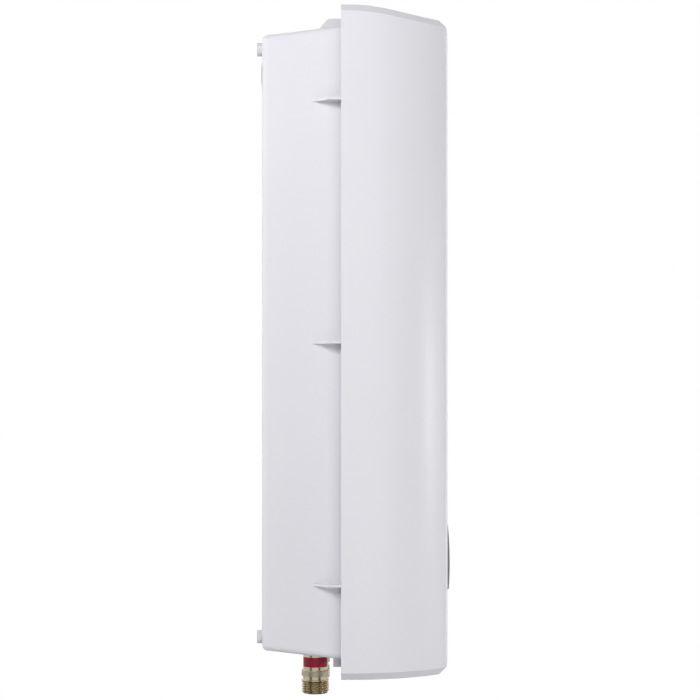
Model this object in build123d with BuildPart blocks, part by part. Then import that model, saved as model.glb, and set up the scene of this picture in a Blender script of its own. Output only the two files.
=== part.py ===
from build123d import *

import os
from math import cos, radians, sin, sqrt, tan

# Wall-hung electric tankless water heater, in millimetres.
# The origin is the middle of the four wall fixings, in the wall plane.
# X runs to the right as seen from the front, Z runs up and the front faces -Y.
# A depth is a distance out from the wall, so a depth d lies at Y = -d.

# General clearances
overrun = 5.0
slide_gap = 0.4
seat_gap = 0.05
running_gap = 0.06

# Front cover
cover_width = 236.0
cover_height = 485.0
cover_depth = 81.4
cover_wall = 3.0
cover_bevel = 5.5
cover_straight = 8.0
cover_side_radius = 98.0
cover_corner_radius = 8.0
cover_front_radius = 900.0
cover_top_drop = 6.0
drop_start = 6.0
drop_end = 70.0
side_sweep_angle = 70

# Rear case
case_depth = 57.6
case_overlap = 13.6
case_side_inset = 12.0
case_end_inset = 13.1
case_draft_angle = 6.0
case_wall = 3.0
case_fillet = 4.5

# Locating ribs on the case
rib_thickness = 2.0
rib_root_depth = 40.7
rib_tip_depth = 52.0
rib_pitch = 175.0
rib_play = 0.5
lug_x = 81.5

# Wall fixings and their pads
fixing_margin = 28.0
fixing_hole_radius = 2.5
pad_radius = 4.8
pad_thickness = 3.8

# Cover screws, their nuts and the slotted tabs of the case
tab_x = 68.0
tab_width = 14.6
tab_rear_depth = 55.4
tab_lip = 3.0
cover_screw_radius = 2.0
cover_screw_length = 10.4
cover_screw_depth = 68.0
cover_screw_head_radius = 3.6
cover_screw_head_height = 2.2
cover_screw_socket_size = 3.0
cover_screw_socket_depth = 1.4
cover_nut_size = 7.0
cover_nut_height = 3.2

# Water nipples, from the free end upwards
nipple_pitch = 70.0
nipple_depth = 41.3
nipple_end_height = -264.8
thread_radius = 10.48
thread_root_radius = 9.3
thread_pitch = 1.814
thread_turns = 5
thread_flange = 1.4
thread_flange_slope = 0.4
nipple_end_chamfer = 0.7
nipple_groove = 2.7
nipple_neck_radius = 9.35
nipple_collar = 4.4
nipple_neck = 2.8
ring_seat_radius = 8.0
ring_radius = 9.2
ring_height = 7.3
nipple_bore_radius = 6.5
nipple_hex_size = 24.0
nipple_hex_height = 8.0

# Nipple bracket
bracket_height = -212.0
bracket_width = 110.0
bracket_thickness = 2.0
bracket_reach = 46.0
bracket_flange_height = 20.0
bracket_screw_pitch = 30.0
bracket_screw_rise = 12.0
jam_nut_height = 7.0
sleeve_hole_radius = 11.0
sleeve_flange_radius = 13.5
sleeve_flange = 2.0
sleeve_length = 8.0
sleeve_drop = 18.5
sleeve_hole_length = 30.0

# Union joints of the water pipes
spigot_radius = 9.0
spigot_length = 8.0
washer_thickness = 1.5
pipe_radius = 6.0
pipe_bore_radius = 5.0
pipe_collar_radius = 8.5
pipe_collar = 1.5
union_nut_length = 14.0
union_nut_size = 24.0
pipe_bend_radius = 12.0
pipe_straight = 2.0
hot_pipe_turn_height = -110.0

# Heating block
block_bottom = -50.0
block_height = 210.0
block_side_wall = 7.0
block_face_wall = 6.0
block_corner = 6.0
chamber_radius = 15.0
chamber_web = 8.0
chamber_floor = 12.0
passage_height = 12.0
passage_width = 12.0
passage_drop = 10.0
outlet_port_drop = 20.0
port_reach = 17.0
ear_width = 12.0
ear_height = 14.0
ear_thickness = 4.0
ear_low = 20.0
ear_high = 180.0
cap_thickness = 8.0
cap_seal_thickness = 1.5
cap_screw_radius = 2.0
cap_screw_length = 22.0
cap_screw_head_radius = 4.0
cap_screw_head_height = 3.0
cap_screw_socket_size = 4.0
cap_screw_socket_depth = 1.6
cap_screw_edge = 5.5
earth_blade_x = 12.0
earth_blade_depth = 53.0
earth_blade_width = 6.3
earth_blade_thickness = 0.8
earth_blade_height = 12.0

# Heating elements
element_radius = 3.5
element_leg_pitch = 14.0
element_bottom = -30.0
element_stub = 8.5
pin_radius = 1.8
pin_length = 12.0
element_nut_size = 11.0
element_nut_height = 5.0
bridge_width = 10.0
bridge_thickness = 1.6
bridge_gap = 2.2
bridge_drop = 7.0
bridge_end = 5.0

# Power board and what stands on it
board_left = -20.0
board_width = 80.0
board_bottom = -40.0
board_height = 190.0
board_thickness = 1.6
board_edge = 6.0
board_corner = 2.0
spacer_radius = 3.5
spacer_length = 14.0
small_screw_radius = 1.5
small_screw_length = 7.0
small_screw_head_radius = 2.8
small_screw_head_height = 2.0
recess_length = 3.2
recess_width = 0.7
recess_depth = 0.9
component_corner = 1.0
relay_width = 30.0
relay_height = 30.0
relay_depth = 24.0
relay_x = 40.0
relay_z = 100.0
transformer_width = 32.0
transformer_height = 26.0
transformer_depth = 20.0
transformer_x = 38.0
transformer_z = 14.0
capacitor_radius = 6.0
capacitor_height = 20.0
capacitor_pitch = 15.0
capacitor_x = 5.0
capacitor_z = 55.0
terminal_strip_height = 14.0
terminal_strip_depth = 15.0
terminal_strip_drop = 12.0
strip_screw_radius = 1.8
strip_screw_depth = 1.5
socket_width = 16.0
socket_height = 8.0
socket_depth = 6.0

# Switching devices and their cooling plate
triac_width = 10.2
triac_height = 15.0
triac_thickness = 4.4
triac_pitch = 16.0
triac_lead_width = 0.9
triac_lead_pitch = 2.54
triac_lead_overlap = 2.0
cooling_bottom = -95.0
cooling_height = 28.0
cooling_width = 50.0
cooling_plate_thickness = 4.0
cooling_clamp_radius = 11.0
cooling_stem_width = 12.0

# Safety devices and sensors on the heating block
cutout_height = 85.0
cutout_radius = 12.0
cutout_body = 11.0
cutout_flange_width = 34.0
cutout_flange_height = 14.0
cutout_flange = 2.0
cutout_flange_corner = 4.5
limiter_height = 25.0
limiter_radius = 11.0
limiter_body = 16.0
limiter_hex_size = 18.0
limiter_hex = 5.0
reset_radius = 2.6
reset_length = 6.0
reset_cap_radius = 3.6
reset_cap = 1.6
reset_rounding = 0.4
reset_travel = 1.5
reset_rest_gap = 0.3
sensor_probe_radius = 2.5
sensor_probe_length = 12.0
sensor_hex_size = 10.0
sensor_hex = 4.0
sensor_body_radius = 3.5
sensor_body = 6.0
outlet_sensor_height = 122.0
inlet_sensor_height = -16.0

# Shut-off valve in the cold inlet
valve_radius = 14.0
valve_seat = 4.0
ball_radius = 9.0
ball_gap = 0.2
ball_bore_radius = 5.5
valve_bore_radius = 6.0
spindle_radius = 3.0
spindle_inset = 6.0
spindle_gap = 0.6
spindle_head_radius = 5.0
spindle_head = 3.0
spindle_slot = 1.2
spindle_boss_radius = 7.0
spindle_boss = 22.0

# Flow sensor
flow_length = 52.0
flow_radius = 14.0
flow_bore_radius = 9.5
flow_end_wall = 8.0
rotor_gap = 0.5
rotor_hub_radius = 3.2
rotor_length = 14.0
rotor_blades = 6
blade_thickness = 1.0
blade_root_radius = 1.6
blade_angle = 28
rotor_shaft_radius = 1.0
rotor_shaft_gap = 0.5
bearing_hub_radius = 2.6
bearing_length = 4.0
bearing_arm = 1.4
bearing_arms = 3
pickup_width = 12.0
pickup_height = 16.0
pickup_thickness = 5.0
pickup_corner = 1.0
pickup_pad = 1.2
filter_play = 0.1
filter_step = 0.7
filter_wall = 0.8
filter_length = 7.5
filter_gap = 0.5
filter_rim = 1.2
filter_slot = 1.2
filter_slots = 10
filter_slot_start = 2.0
filter_slot_length = 4.5

# Control unit behind the window of the cover
control_height = -163.7
lens_radius = 26.0
lens_height = 8.6
lens_stand = 1.5
lens_dome = 1.25
lens_tilt_angle = 0.7
lens_wall = 2.0
window_gap = 0.6
control_rim = 5.0
control_wall = 2.0
control_front_gap = 1.2
control_post_radius = 3.2
control_post_length = 23.0
lens_ledge = 1.6
lens_ledge_width = 2.4
display_gap = 2.8
display_board_gap = 0.5
display_width = 32.0
display_height = 20.0
display_thickness = 4.5
column_width = 24.0
column_height = 24.0
column_wall = 2.0
column_drop = 5.3
column_foot_width = 44.0
column_screw_pitch = 34.0
plate_thickness = 3.0
control_screw_ring = 22.0
ribbon_width = 12.0
ribbon_thickness = 1.0
ribbon_bend = 6.0
ribbon_turn_height = -150.0
ribbon_slot_width = 16.0
ribbon_slot_height = 3.0

# Bosses on the inside of the case back
boss_height = 6.0
boss_radius = 5.0
boss_hole_radius = 1.4
boss_hole_depth = 7.5
base_screw_radius = 1.5
base_screw_length = 9.0
base_screw_head_radius = 3.4
base_screw_head_height = 2.2

# Mains terminal block and cable entry
terminal_left = 2.0
terminal_width = 62.0
terminal_bottom = 197.0
terminal_height = 20.0
terminal_thickness = 22.0
terminal_pitch = 14.0
terminal_poles = 4
terminal_screw_radius = 2.6
terminal_screw_depth = 8.0
terminal_screw_length = 4.0
terminal_screw_row = 14.0
terminal_hole_radius = 2.2
terminal_hole_depth = 4.0
terminal_hole_setback = 7.0
terminal_wire_row = 5.0
terminal_ear_width = 8.0
terminal_ear_height = 10.0
entry_x = -60.0
entry_height = 200.0
entry_radius = 9.0
grommet_lip_radius = 11.5
grommet_lip = 1.6
grommet_bore_radius = 5.5
clamp_x = -24.0
clamp_width = 12.0
clamp_length = 34.0
clamp_arch_length = 15.0
clamp_arch_height = 8.0
clamp_grip_radius = 5.0
clamp_screw_pitch = 25.0
clamp_corner = 2.0

# Wires
phase_wire_radius = 2.0
element_wire_radius = 1.8
receptacle_width = 7.6
receptacle_thickness = 2.6
receptacle_height = 14.0
wire_bend = 8.0
wire_side_step = 19.0
wire_end_straight = 12.0

# Places worked out from the sizes above
cover_rear = pad_thickness + case_depth
case_rim = cover_rear + case_overlap
cover_front = cover_rear + cover_depth
cover_floor = -cover_height / 2
fixing_width = cover_width - 2 * fixing_margin
fixing_height = cover_height - 2 * fixing_margin
draft = tan(radians(case_draft_angle))
draft_slope = cos(radians(case_draft_angle))
case_half_width = cover_width / 2 - case_side_inset - draft * case_depth
case_half_height = cover_height / 2 - case_end_inset - draft * case_depth
case_floor = pad_thickness + case_wall
boss_top = case_floor + boss_height
tab_bottom = cover_floor + cover_wall + rib_play
nipple_hex_bottom = bracket_height + bracket_thickness
spigot_bottom = nipple_hex_bottom + nipple_hex_height
chamber_pitch = 2 * chamber_radius + chamber_web
block_width = 2 * (chamber_pitch + chamber_radius + block_side_wall)
block_thickness = 2 * (chamber_radius + block_face_wall)
block_top = block_bottom + block_height
block_rear = nipple_depth - block_thickness / 2
block_front = nipple_depth + block_thickness / 2
chamber_bottom = block_bottom + chamber_floor
outlet_port_height = block_top - outlet_port_drop
cap_bottom = block_top + cap_seal_thickness
cap_top = cap_bottom + cap_thickness
leg_top = cap_top + element_stub
pin_top = leg_top + pin_length
board_rear = block_front + spacer_length
board_front = board_rear + board_thickness
board_x = board_left + board_width / 2
board_z = board_bottom + board_height / 2
strip_top = board_bottom + board_height - terminal_strip_drop
strip_z = strip_top - terminal_strip_height / 2
wire_front_depth = board_front + terminal_strip_depth / 2
ribbon_depth = board_front + socket_depth / 2
cooling_front = board_rear - triac_thickness
triac_z = cooling_bottom + cooling_height / 2
valve_bottom = spigot_bottom
ball_height = valve_bottom + spigot_length + valve_seat + ball_radius
valve_length = spigot_length + valve_seat + 2 * ball_radius + filter_gap + filter_length
spindle_length = spindle_boss + spindle_gap - spindle_inset
filter_rim_radius = valve_bore_radius - filter_play
filter_radius = filter_rim_radius - filter_step
flow_bottom = valve_bottom + valve_length
flow_top = flow_bottom + flow_length
rotor_z = flow_bottom + flow_length / 2
rotor_bottom = rotor_z - rotor_length / 2
rotor_radius = flow_bore_radius - rotor_gap
rotor_shaft_length = flow_length - 2 * flow_end_wall - 2 * rotor_shaft_gap
hot_x = -nipple_pitch / 2
cold_x = nipple_pitch / 2
lens_rim_depth = cover_front + lens_stand
lens_rear_depth = lens_rim_depth - lens_height
lens_ledge_radius = lens_radius - lens_ledge_width
ledge_rear = lens_rear_depth - lens_ledge
display_board_depth = ledge_rear - display_gap - board_thickness
control_radius = lens_radius + control_rim
control_front_depth = cover_front - cover_wall - control_front_gap
control_rear_depth = display_board_depth - control_post_length
display_board_radius = control_radius - control_wall - display_board_gap
column_z = control_height - column_drop
plate_rear = control_rear_depth - plate_thickness
socket_z = ribbon_turn_height - control_height
terminal_front = boss_top + terminal_thickness
terminal_x = terminal_left + terminal_width / 2
terminal_z = terminal_bottom + terminal_height / 2
terminal_top = terminal_bottom + terminal_height
wire_row_z = terminal_bottom + terminal_wire_row
pin_wire_z = pin_top - pin_radius - element_wire_radius

# Places of things that repeat, as X and Z on a face or X and Y on a level
sides = (-1, 1)
fixing_places = [(x * fixing_width / 2, z * fixing_height / 2) for x in sides for z in sides]
tab_places = [(side * tab_x, 0) for side in sides]
nipple_places = [(hot_x, 0), (cold_x, 0)]
chamber_x = [-chamber_pitch, 0, chamber_pitch]
left_legs = [(x - element_leg_pitch / 2, 0) for x in chamber_x]
right_legs = [(x + element_leg_pitch / 2, 0) for x in chamber_x]
cap_row = block_thickness / 2 - cap_screw_edge
cap_columns = [chamber_pitch / 2, block_width / 2 - cap_screw_edge]
cap_screw_places = [(side * x, end * cap_row) for side in sides for x in cap_columns for end in sides]
ear_x = (block_width + ear_width) / 2
ear_places = [(side * ear_x, block_bottom + rise) for side in sides for rise in (ear_low, ear_high)]
column_screws = [(side * column_screw_pitch / 2, column_z) for side in sides]
bracket_screws = [(side * bracket_screw_pitch / 2, bracket_height + bracket_screw_rise) for side in sides]
terminal_ears = [(terminal_x + side * (terminal_width + terminal_ear_width) / 2, terminal_z) for side in sides]
clamp_screws = [(clamp_x, entry_height + side * clamp_screw_pitch / 2) for side in sides]
low_bosses = column_screws + bracket_screws + terminal_ears + clamp_screws
corner_x = board_width / 2 - board_edge
corner_z = board_height / 2 - board_edge
board_corners = [(board_x + x * corner_x, board_z + z * corner_z) for x in sides for z in sides]
capacitor_places = [(capacitor_x, capacitor_z + n * capacitor_pitch) for n in (-1, 0, 1)]
triac_places = [(cold_x + n * triac_pitch, triac_z) for n in (-1, 0, 1)]
control_posts = [
    (control_screw_ring * sin(radians(turn)), control_height + control_screw_ring * cos(radians(turn)))
    for turn in (60, 180, 300)
]
pole_span = (terminal_poles - 1) * terminal_pitch
pole_x = [terminal_x - pole_span / 2 + n * terminal_pitch for n in range(terminal_poles)]
element_wire_x = [x for x, _ in right_legs]
board_wire_x = [element_wire_x[0] + wire_side_step] + element_wire_x[1:]


def facing(depth, x=0, height=0):
    """Sketch plane at a depth, seen from the front: X to the right, Z up, normal to the front."""
    return Plane(origin=(x, -depth, height), x_dir=(1, 0, 0), z_dir=(0, -1, 0))


def level(height, x=0, depth=0):
    """Horizontal sketch plane with its own middle, normal up."""
    return Plane(origin=(x, -depth, height))


def slab(plane, width, height, thickness, places=((0, 0),), corner=0, mode=Mode.ADD):
    """Straight slabs on a plane, with rounded corners where a corner radius is given."""
    with BuildSketch(plane) as outline:
        with Locations(*places):
            if corner:
                RectangleRounded(width, height, corner)
            else:
                Rectangle(width, height)
    extrude(outline.sketch, amount=thickness, mode=mode)


def drum(plane, radius, thickness, places=((0, 0),), mode=Mode.ADD):
    """Straight round drums on a plane."""
    with BuildSketch(plane) as outline:
        with Locations(*places):
            Circle(radius)
    extrude(outline.sketch, amount=thickness, mode=mode)


def hexagon(plane, size, thickness, places=((0, 0),), mode=Mode.ADD):
    """Hexagonal prisms on a plane, by their size across flats."""
    with BuildSketch(plane) as outline:
        with Locations(*places):
            RegularPolygon(size / 2, 6, major_radius=False)
    extrude(outline.sketch, amount=thickness, mode=mode)


def screw(plane, radius, length, head_radius, head_height):
    """Pan head screw with a cross recess, its head standing on the plane."""
    drum(plane, head_radius, head_height)
    drum(plane, radius, -length)
    for width, height in ((recess_length, recess_width), (recess_width, recess_length)):
        slab(plane.offset(head_height), width, height, -recess_depth, mode=Mode.SUBTRACT)


def case_width_at(depth):
    return case_half_width + draft * (depth - pad_thickness)


def case_height_at(depth):
    return case_half_height + draft * (depth - pad_thickness)


def case_form(inset, rim):
    """Closed form of the tapered case, inset evenly by a wall, up to a given depth."""
    rear = pad_thickness + inset
    width = 2 * (case_width_at(rear) - inset / draft_slope)
    height = 2 * (case_height_at(rear) - inset / draft_slope)
    with BuildPart() as form:
        with BuildSketch(facing(rear)):
            Rectangle(width, height)
        extrude(amount=rim - rear, taper=-case_draft_angle)
        rim_edges = form.edges().group_by(Axis.Y)[0]
        fillet([edge for edge in form.edges() if edge not in rim_edges], case_fillet - inset)
    return form.part


def cover_form(inset, rear):
    """Closed form of the cover, inset evenly by a wall, from a given depth to the front."""
    half = cover_width / 2 - inset
    arc_x = cover_width / 2 - cover_side_radius
    arc_y = -cover_rear - cover_straight
    arc_radius = cover_side_radius - inset
    top = cover_height / 2 - inset
    front = -cover_front - overrun
    drop_from = (-cover_rear - drop_start, top)
    drop_to = (-cover_rear - drop_end, top - cover_top_drop)
    with BuildPart() as form:
        with BuildSketch(level(-top)) as plan:
            with BuildLine():
                right = CenterArc((arc_x, arc_y), arc_radius, 0, -side_sweep_angle)
                left = CenterArc((-arc_x, arc_y), arc_radius, 180, side_sweep_angle)
                Line(right @ 1, left @ 1)
                Polyline(left @ 0, (-half, -rear), (half, -rear), right @ 0)
            make_face()
            with Locations((0, cover_front_radius - cover_front)):
                Circle(cover_front_radius - inset, mode=Mode.INTERSECT)
            fillet(plan.vertices().sort_by(Axis.Y)[:2], cover_corner_radius - inset)
        extrude(amount=2 * top)
        with BuildSketch(Plane.YZ):
            with BuildLine():
                Spline(drop_from, drop_to, tangents=[(-1, 0), (-1, 0)])
                Polyline(drop_to, (front, drop_to[1]), (front, -top), (-rear, -top), (-rear, top), drop_from)
            make_face()
        extrude(amount=cover_width, both=True, mode=Mode.INTERSECT)
        end_edges = form.edges().filter_by(Axis.X, reverse=True)
        end_edges = end_edges.filter_by(lambda edge: abs(edge.center().Z) > top - 2 * cover_bevel)
        chamfer(end_edges, cover_bevel - inset * (2 - sqrt(2)))
    return form.part


# Rear case: tapered tray with ribs, lugs, slotted tabs, bosses and holes

case_outside = case_form(0, case_rim)
case_hollow = case_form(case_wall, case_rim + overrun)
side_reach = cover_width / 2 - cover_wall - rib_play
top_reach = cover_height / 2 - cover_wall - rib_play
rib_sink = case_wall / 2
slot_radius = cover_screw_radius + slide_gap
pocket_width = cover_nut_size + 2 * slide_gap
pocket_height = cover_nut_height + 2 * slide_gap
slot_length = case_rim - cover_screw_depth + overrun
pocket_length = slot_length + pocket_width / 2
back_middle = pad_thickness + rib_sink

with BuildPart() as rear_case:
    add(case_outside)
    # Three level ribs on each side
    for height in (-rib_pitch, 0, rib_pitch):
        for side in sides:
            with BuildSketch(level(height - rib_thickness / 2)):
                with BuildLine():
                    Polyline(
                        (side * case_width_at(rib_root_depth), -rib_root_depth),
                        (side * side_reach, -rib_tip_depth),
                        (side * side_reach, -case_rim),
                        (side * (case_width_at(case_rim) - rib_sink), -case_rim),
                        (side * (case_width_at(rib_root_depth) - rib_sink), -rib_root_depth),
                        close=True,
                    )
                make_face()
            extrude(amount=rib_thickness)
    # Two upright lugs on top
    for side in sides:
        with BuildSketch(Plane.YZ.offset(side * lug_x - rib_thickness / 2)):
            with BuildLine():
                Polyline(
                    (-rib_root_depth, case_height_at(rib_root_depth)),
                    (-rib_tip_depth, top_reach),
                    (-case_rim, top_reach),
                    (-case_rim, case_height_at(case_rim) - rib_sink),
                    (-rib_root_depth, case_height_at(rib_root_depth) - rib_sink),
                    close=True,
                )
            make_face()
        extrude(amount=rib_thickness)
    # Two tabs below, each with a slot open to the front
    tab_height = -case_height_at(tab_rear_depth) + rib_sink - tab_bottom
    tab_plane = level(tab_bottom, 0, (tab_rear_depth + case_rim) / 2)
    slab(tab_plane, tab_width, case_rim - tab_rear_depth, tab_height, tab_places)
    drum(level(tab_bottom, 0, cover_screw_depth), slot_radius, tab_lip, tab_places, Mode.SUBTRACT)
    slot_plane = level(tab_bottom, 0, cover_screw_depth + slot_length / 2)
    slab(slot_plane, 2 * slot_radius, slot_length, tab_lip, tab_places, mode=Mode.SUBTRACT)
    pocket_depth = cover_screw_depth - pocket_width / 2 + pocket_length / 2
    pocket_plane = level(tab_bottom + tab_lip, 0, pocket_depth)
    slab(pocket_plane, pocket_width, pocket_length, pocket_height, tab_places, mode=Mode.SUBTRACT)
    add(case_hollow, mode=Mode.SUBTRACT)
    # Bosses, fixing holes, cable entry and the holes for the nipples
    drum(facing(back_middle), boss_radius, block_rear - back_middle, ear_places)
    drum(facing(back_middle), boss_radius, boss_top - back_middle, low_bosses)
    drum(facing(block_rear), boss_hole_radius, -boss_hole_depth, ear_places, Mode.SUBTRACT)
    drum(facing(boss_top), boss_hole_radius, -boss_hole_depth, low_bosses, Mode.SUBTRACT)
    drum(facing(0), fixing_hole_radius, case_floor + overrun, fixing_places, Mode.SUBTRACT)
    drum(facing(0), entry_radius, case_floor + overrun, [(entry_x, entry_height)], Mode.SUBTRACT)
    hole_plane = level(cover_floor, 0, nipple_depth)
    drum(hole_plane, sleeve_hole_radius, sleeve_hole_length, nipple_places, Mode.SUBTRACT)


# Wall pads: spacer discs round the fixing holes

with BuildPart() as wall_pads:
    drum(facing(0), pad_radius, pad_thickness, fixing_places)
    drum(facing(0), fixing_hole_radius, pad_thickness, fixing_places, Mode.SUBTRACT)


# Front cover: deep shell with the round window and two screw holes

cover_outside = cover_form(0, cover_rear)
cover_hollow = cover_form(cover_wall, cover_rear - overrun)

with BuildPart() as front_cover:
    add(cover_outside)
    add(cover_hollow, mode=Mode.SUBTRACT)
    window_plane = facing(lens_rear_depth, 0, control_height)
    drum(window_plane, lens_radius + window_gap, cover_front - lens_rear_depth + overrun, mode=Mode.SUBTRACT)
    hole_plane = level(cover_floor, 0, cover_screw_depth)
    drum(hole_plane, cover_screw_radius + slide_gap / 2, cover_wall, tab_places, Mode.SUBTRACT)


# Cover screws: captive in the cover's floor

with BuildPart() as cover_screws:
    head_top = level(cover_floor - seat_gap, 0, cover_screw_depth)
    head_bottom = head_top.offset(-cover_screw_head_height)
    drum(head_bottom, cover_screw_head_radius, cover_screw_head_height, tab_places)
    drum(head_top, cover_screw_radius, cover_screw_length, tab_places)
    hexagon(head_bottom, cover_screw_socket_size, cover_screw_socket_depth, tab_places, Mode.SUBTRACT)


# Square nuts that the cover screws draw down onto the case's tabs

with BuildPart() as cover_screw_nuts:
    nut_plane = level(tab_bottom + tab_lip + slide_gap, 0, cover_screw_depth)
    slab(nut_plane, cover_nut_size, cover_nut_size, cover_nut_height, tab_places)
    drum(nut_plane, cover_screw_radius, cover_nut_height, tab_places, Mode.SUBTRACT)


# Water nipples: outside thread, two collars, ring seat, hexagon and spigot

thread_top = nipple_end_height + thread_turns * thread_pitch
flange_top = thread_top + thread_flange
collar_bottom = flange_top + nipple_groove
collar_top = collar_bottom + nipple_collar
neck_top = collar_top + nipple_neck
ring_top = neck_top + ring_height
spigot_top = spigot_bottom + spigot_length
thread_shares = (1 / 8, 7 / 16, 9 / 16, 7 / 8)


def nipple_form(x):
    """Turned body of one nipple with its hexagon."""
    profile = [
        (nipple_bore_radius, nipple_end_height),
        (thread_root_radius - nipple_end_chamfer, nipple_end_height),
    ]
    for turn in range(thread_turns):
        foot, rise, fall, end = [
            nipple_end_height + (turn + share) * thread_pitch for share in thread_shares
        ]
        crest = thread_radius - nipple_end_chamfer if turn == 0 else thread_radius
        profile += [(thread_root_radius, foot), (crest, rise), (crest, fall), (thread_root_radius, end)]
    profile += [
        (thread_root_radius, thread_top),
        (thread_radius, thread_top + thread_flange_slope),
        (thread_radius, flange_top),
        (nipple_neck_radius, flange_top),
        (nipple_neck_radius, collar_bottom),
        (thread_radius, collar_bottom),
        (thread_radius, collar_top),
        (nipple_neck_radius, collar_top),
        (nipple_neck_radius, neck_top),
        (ring_seat_radius, neck_top),
        (ring_seat_radius, ring_top),
        (nipple_neck_radius, ring_top),
        (nipple_neck_radius, nipple_hex_bottom),
        (spigot_radius, nipple_hex_bottom),
        (spigot_radius, spigot_top),
        (nipple_bore_radius, spigot_top),
    ]
    with BuildSketch(facing(nipple_depth, x)) as half_section:
        with BuildLine():
            Polyline(profile, close=True)
        make_face()
    revolve(half_section.sketch, axis=Axis((x, -nipple_depth, 0), (0, 0, 1)))
    hex_plane = level(nipple_hex_bottom, x, nipple_depth)
    hexagon(hex_plane, nipple_hex_size, nipple_hex_height)
    drum(hex_plane, nipple_bore_radius, nipple_hex_height, mode=Mode.SUBTRACT)


with BuildPart() as hot_nipple:
    nipple_form(hot_x)

with BuildPart() as cold_nipple:
    nipple_form(cold_x)


# Red and blue marking rings in the nipples' seats


def ring_form(x):
    """Plain ring that fills a nipple's seat."""
    drum(level(neck_top, x, nipple_depth), ring_radius, ring_height)
    drum(level(neck_top, x, nipple_depth), ring_seat_radius + seat_gap, ring_height, mode=Mode.SUBTRACT)


with BuildPart() as hot_ring:
    ring_form(hot_x)

with BuildPart() as cold_ring:
    ring_form(cold_x)


# Rubber sleeves that close the case's floor round the nipples

with BuildPart() as nipple_sleeves:
    sleeve_plane = level(bracket_height - sleeve_drop, 0, nipple_depth)
    drum(sleeve_plane, sleeve_hole_radius - seat_gap, sleeve_length, nipple_places)
    drum(sleeve_plane.offset(sleeve_length), sleeve_flange_radius, sleeve_flange, nipple_places)
    sleeve_total = sleeve_length + sleeve_flange
    drum(sleeve_plane, nipple_neck_radius + seat_gap, sleeve_total, nipple_places, Mode.SUBTRACT)


# Folded steel bracket that holds both nipples to the case back

with BuildPart() as nipple_bracket:
    bracket_plane = level(bracket_height, 0, boss_top + bracket_reach / 2)
    slab(bracket_plane, bracket_width, bracket_reach, bracket_thickness)
    flange_plane = facing(boss_top, 0, bracket_height + bracket_flange_height / 2)
    slab(flange_plane, bracket_width, bracket_flange_height, bracket_thickness)
    neck_plane = level(bracket_height, 0, nipple_depth)
    drum(neck_plane, nipple_neck_radius + seat_gap, bracket_thickness, nipple_places, Mode.SUBTRACT)
    screw_hole = base_screw_radius + seat_gap
    drum(facing(boss_top), screw_hole, bracket_thickness, bracket_screws, Mode.SUBTRACT)


# Flat nuts that draw the nipples down onto the bracket

with BuildPart() as nipple_nuts:
    nut_plane = level(bracket_height - jam_nut_height, 0, nipple_depth)
    hexagon(nut_plane, nipple_hex_size, jam_nut_height, nipple_places)
    drum(nut_plane, nipple_neck_radius + seat_gap, jam_nut_height, nipple_places, Mode.SUBTRACT)


# Union joints: every plane stands at the foot of a spigot, normal along its pipe

hot_union = level(spigot_bottom, hot_x, nipple_depth)
outlet_union = Plane(origin=(-block_width / 2, -nipple_depth, outlet_port_height), z_dir=(-1, 0, 0))
inlet_union = Plane(origin=(cold_x, -nipple_depth, block_bottom), z_dir=(0, 0, -1))
flow_union = level(flow_top, cold_x, nipple_depth)
union_planes = (hot_union, outlet_union, inlet_union, flow_union)
pipe_stand = spigot_length + washer_thickness

with BuildPart() as union_nuts:
    for plane in union_planes:
        hexagon(plane.offset(seat_gap), union_nut_size, union_nut_length)
        nut_chamber = pipe_stand + pipe_collar + seat_gap
        drum(plane, spigot_radius + seat_gap, nut_chamber, mode=Mode.SUBTRACT)
        drum(plane, pipe_radius + seat_gap, union_nut_length + overrun, mode=Mode.SUBTRACT)

with BuildPart() as union_washers:
    for plane in union_planes:
        drum(plane.offset(spigot_length), pipe_collar_radius, washer_thickness)
        drum(plane.offset(spigot_length), pipe_radius, washer_thickness, mode=Mode.SUBTRACT)


# Copper pipe from the block's side port down to the hot nipple, with three bends

outlet_start = outlet_union.offset(pipe_stand).origin
outlet_end = hot_union.offset(pipe_stand).origin
outlet_run_x = outlet_union.offset(union_nut_length + pipe_straight).origin.X - pipe_bend_radius

with BuildPart() as outlet_pipe:
    with BuildLine() as pipe_route:
        FilletPolyline(
            outlet_start,
            (outlet_run_x, outlet_start.Y, outlet_start.Z),
            (outlet_run_x, outlet_start.Y, hot_pipe_turn_height),
            (outlet_end.X, outlet_end.Y, hot_pipe_turn_height),
            outlet_end,
            radius=pipe_bend_radius,
        )
    pipe_section = Plane(origin=outlet_start, z_dir=pipe_route.line % 0)
    with BuildSketch(pipe_section):
        Circle(pipe_radius)
    sweep(path=pipe_route.line)
    for plane in (hot_union, outlet_union):
        drum(plane.offset(pipe_stand), pipe_collar_radius, pipe_collar)
    with BuildSketch(pipe_section):
        Circle(pipe_bore_radius)
    sweep(path=pipe_route.line, mode=Mode.SUBTRACT)


# Short straight copper pipe from the flow sensor up to the block

with BuildPart() as inlet_pipe:
    inlet_start = flow_union.offset(pipe_stand)
    inlet_length = block_bottom - flow_top - 2 * pipe_stand
    drum(inlet_start, pipe_radius, inlet_length)
    for plane in (inlet_union, flow_union):
        drum(plane.offset(pipe_stand), pipe_collar_radius, pipe_collar)
    drum(inlet_start, pipe_bore_radius, inlet_length, mode=Mode.SUBTRACT)


# Heating block: three water chambers in series, two ports and four ears

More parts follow.
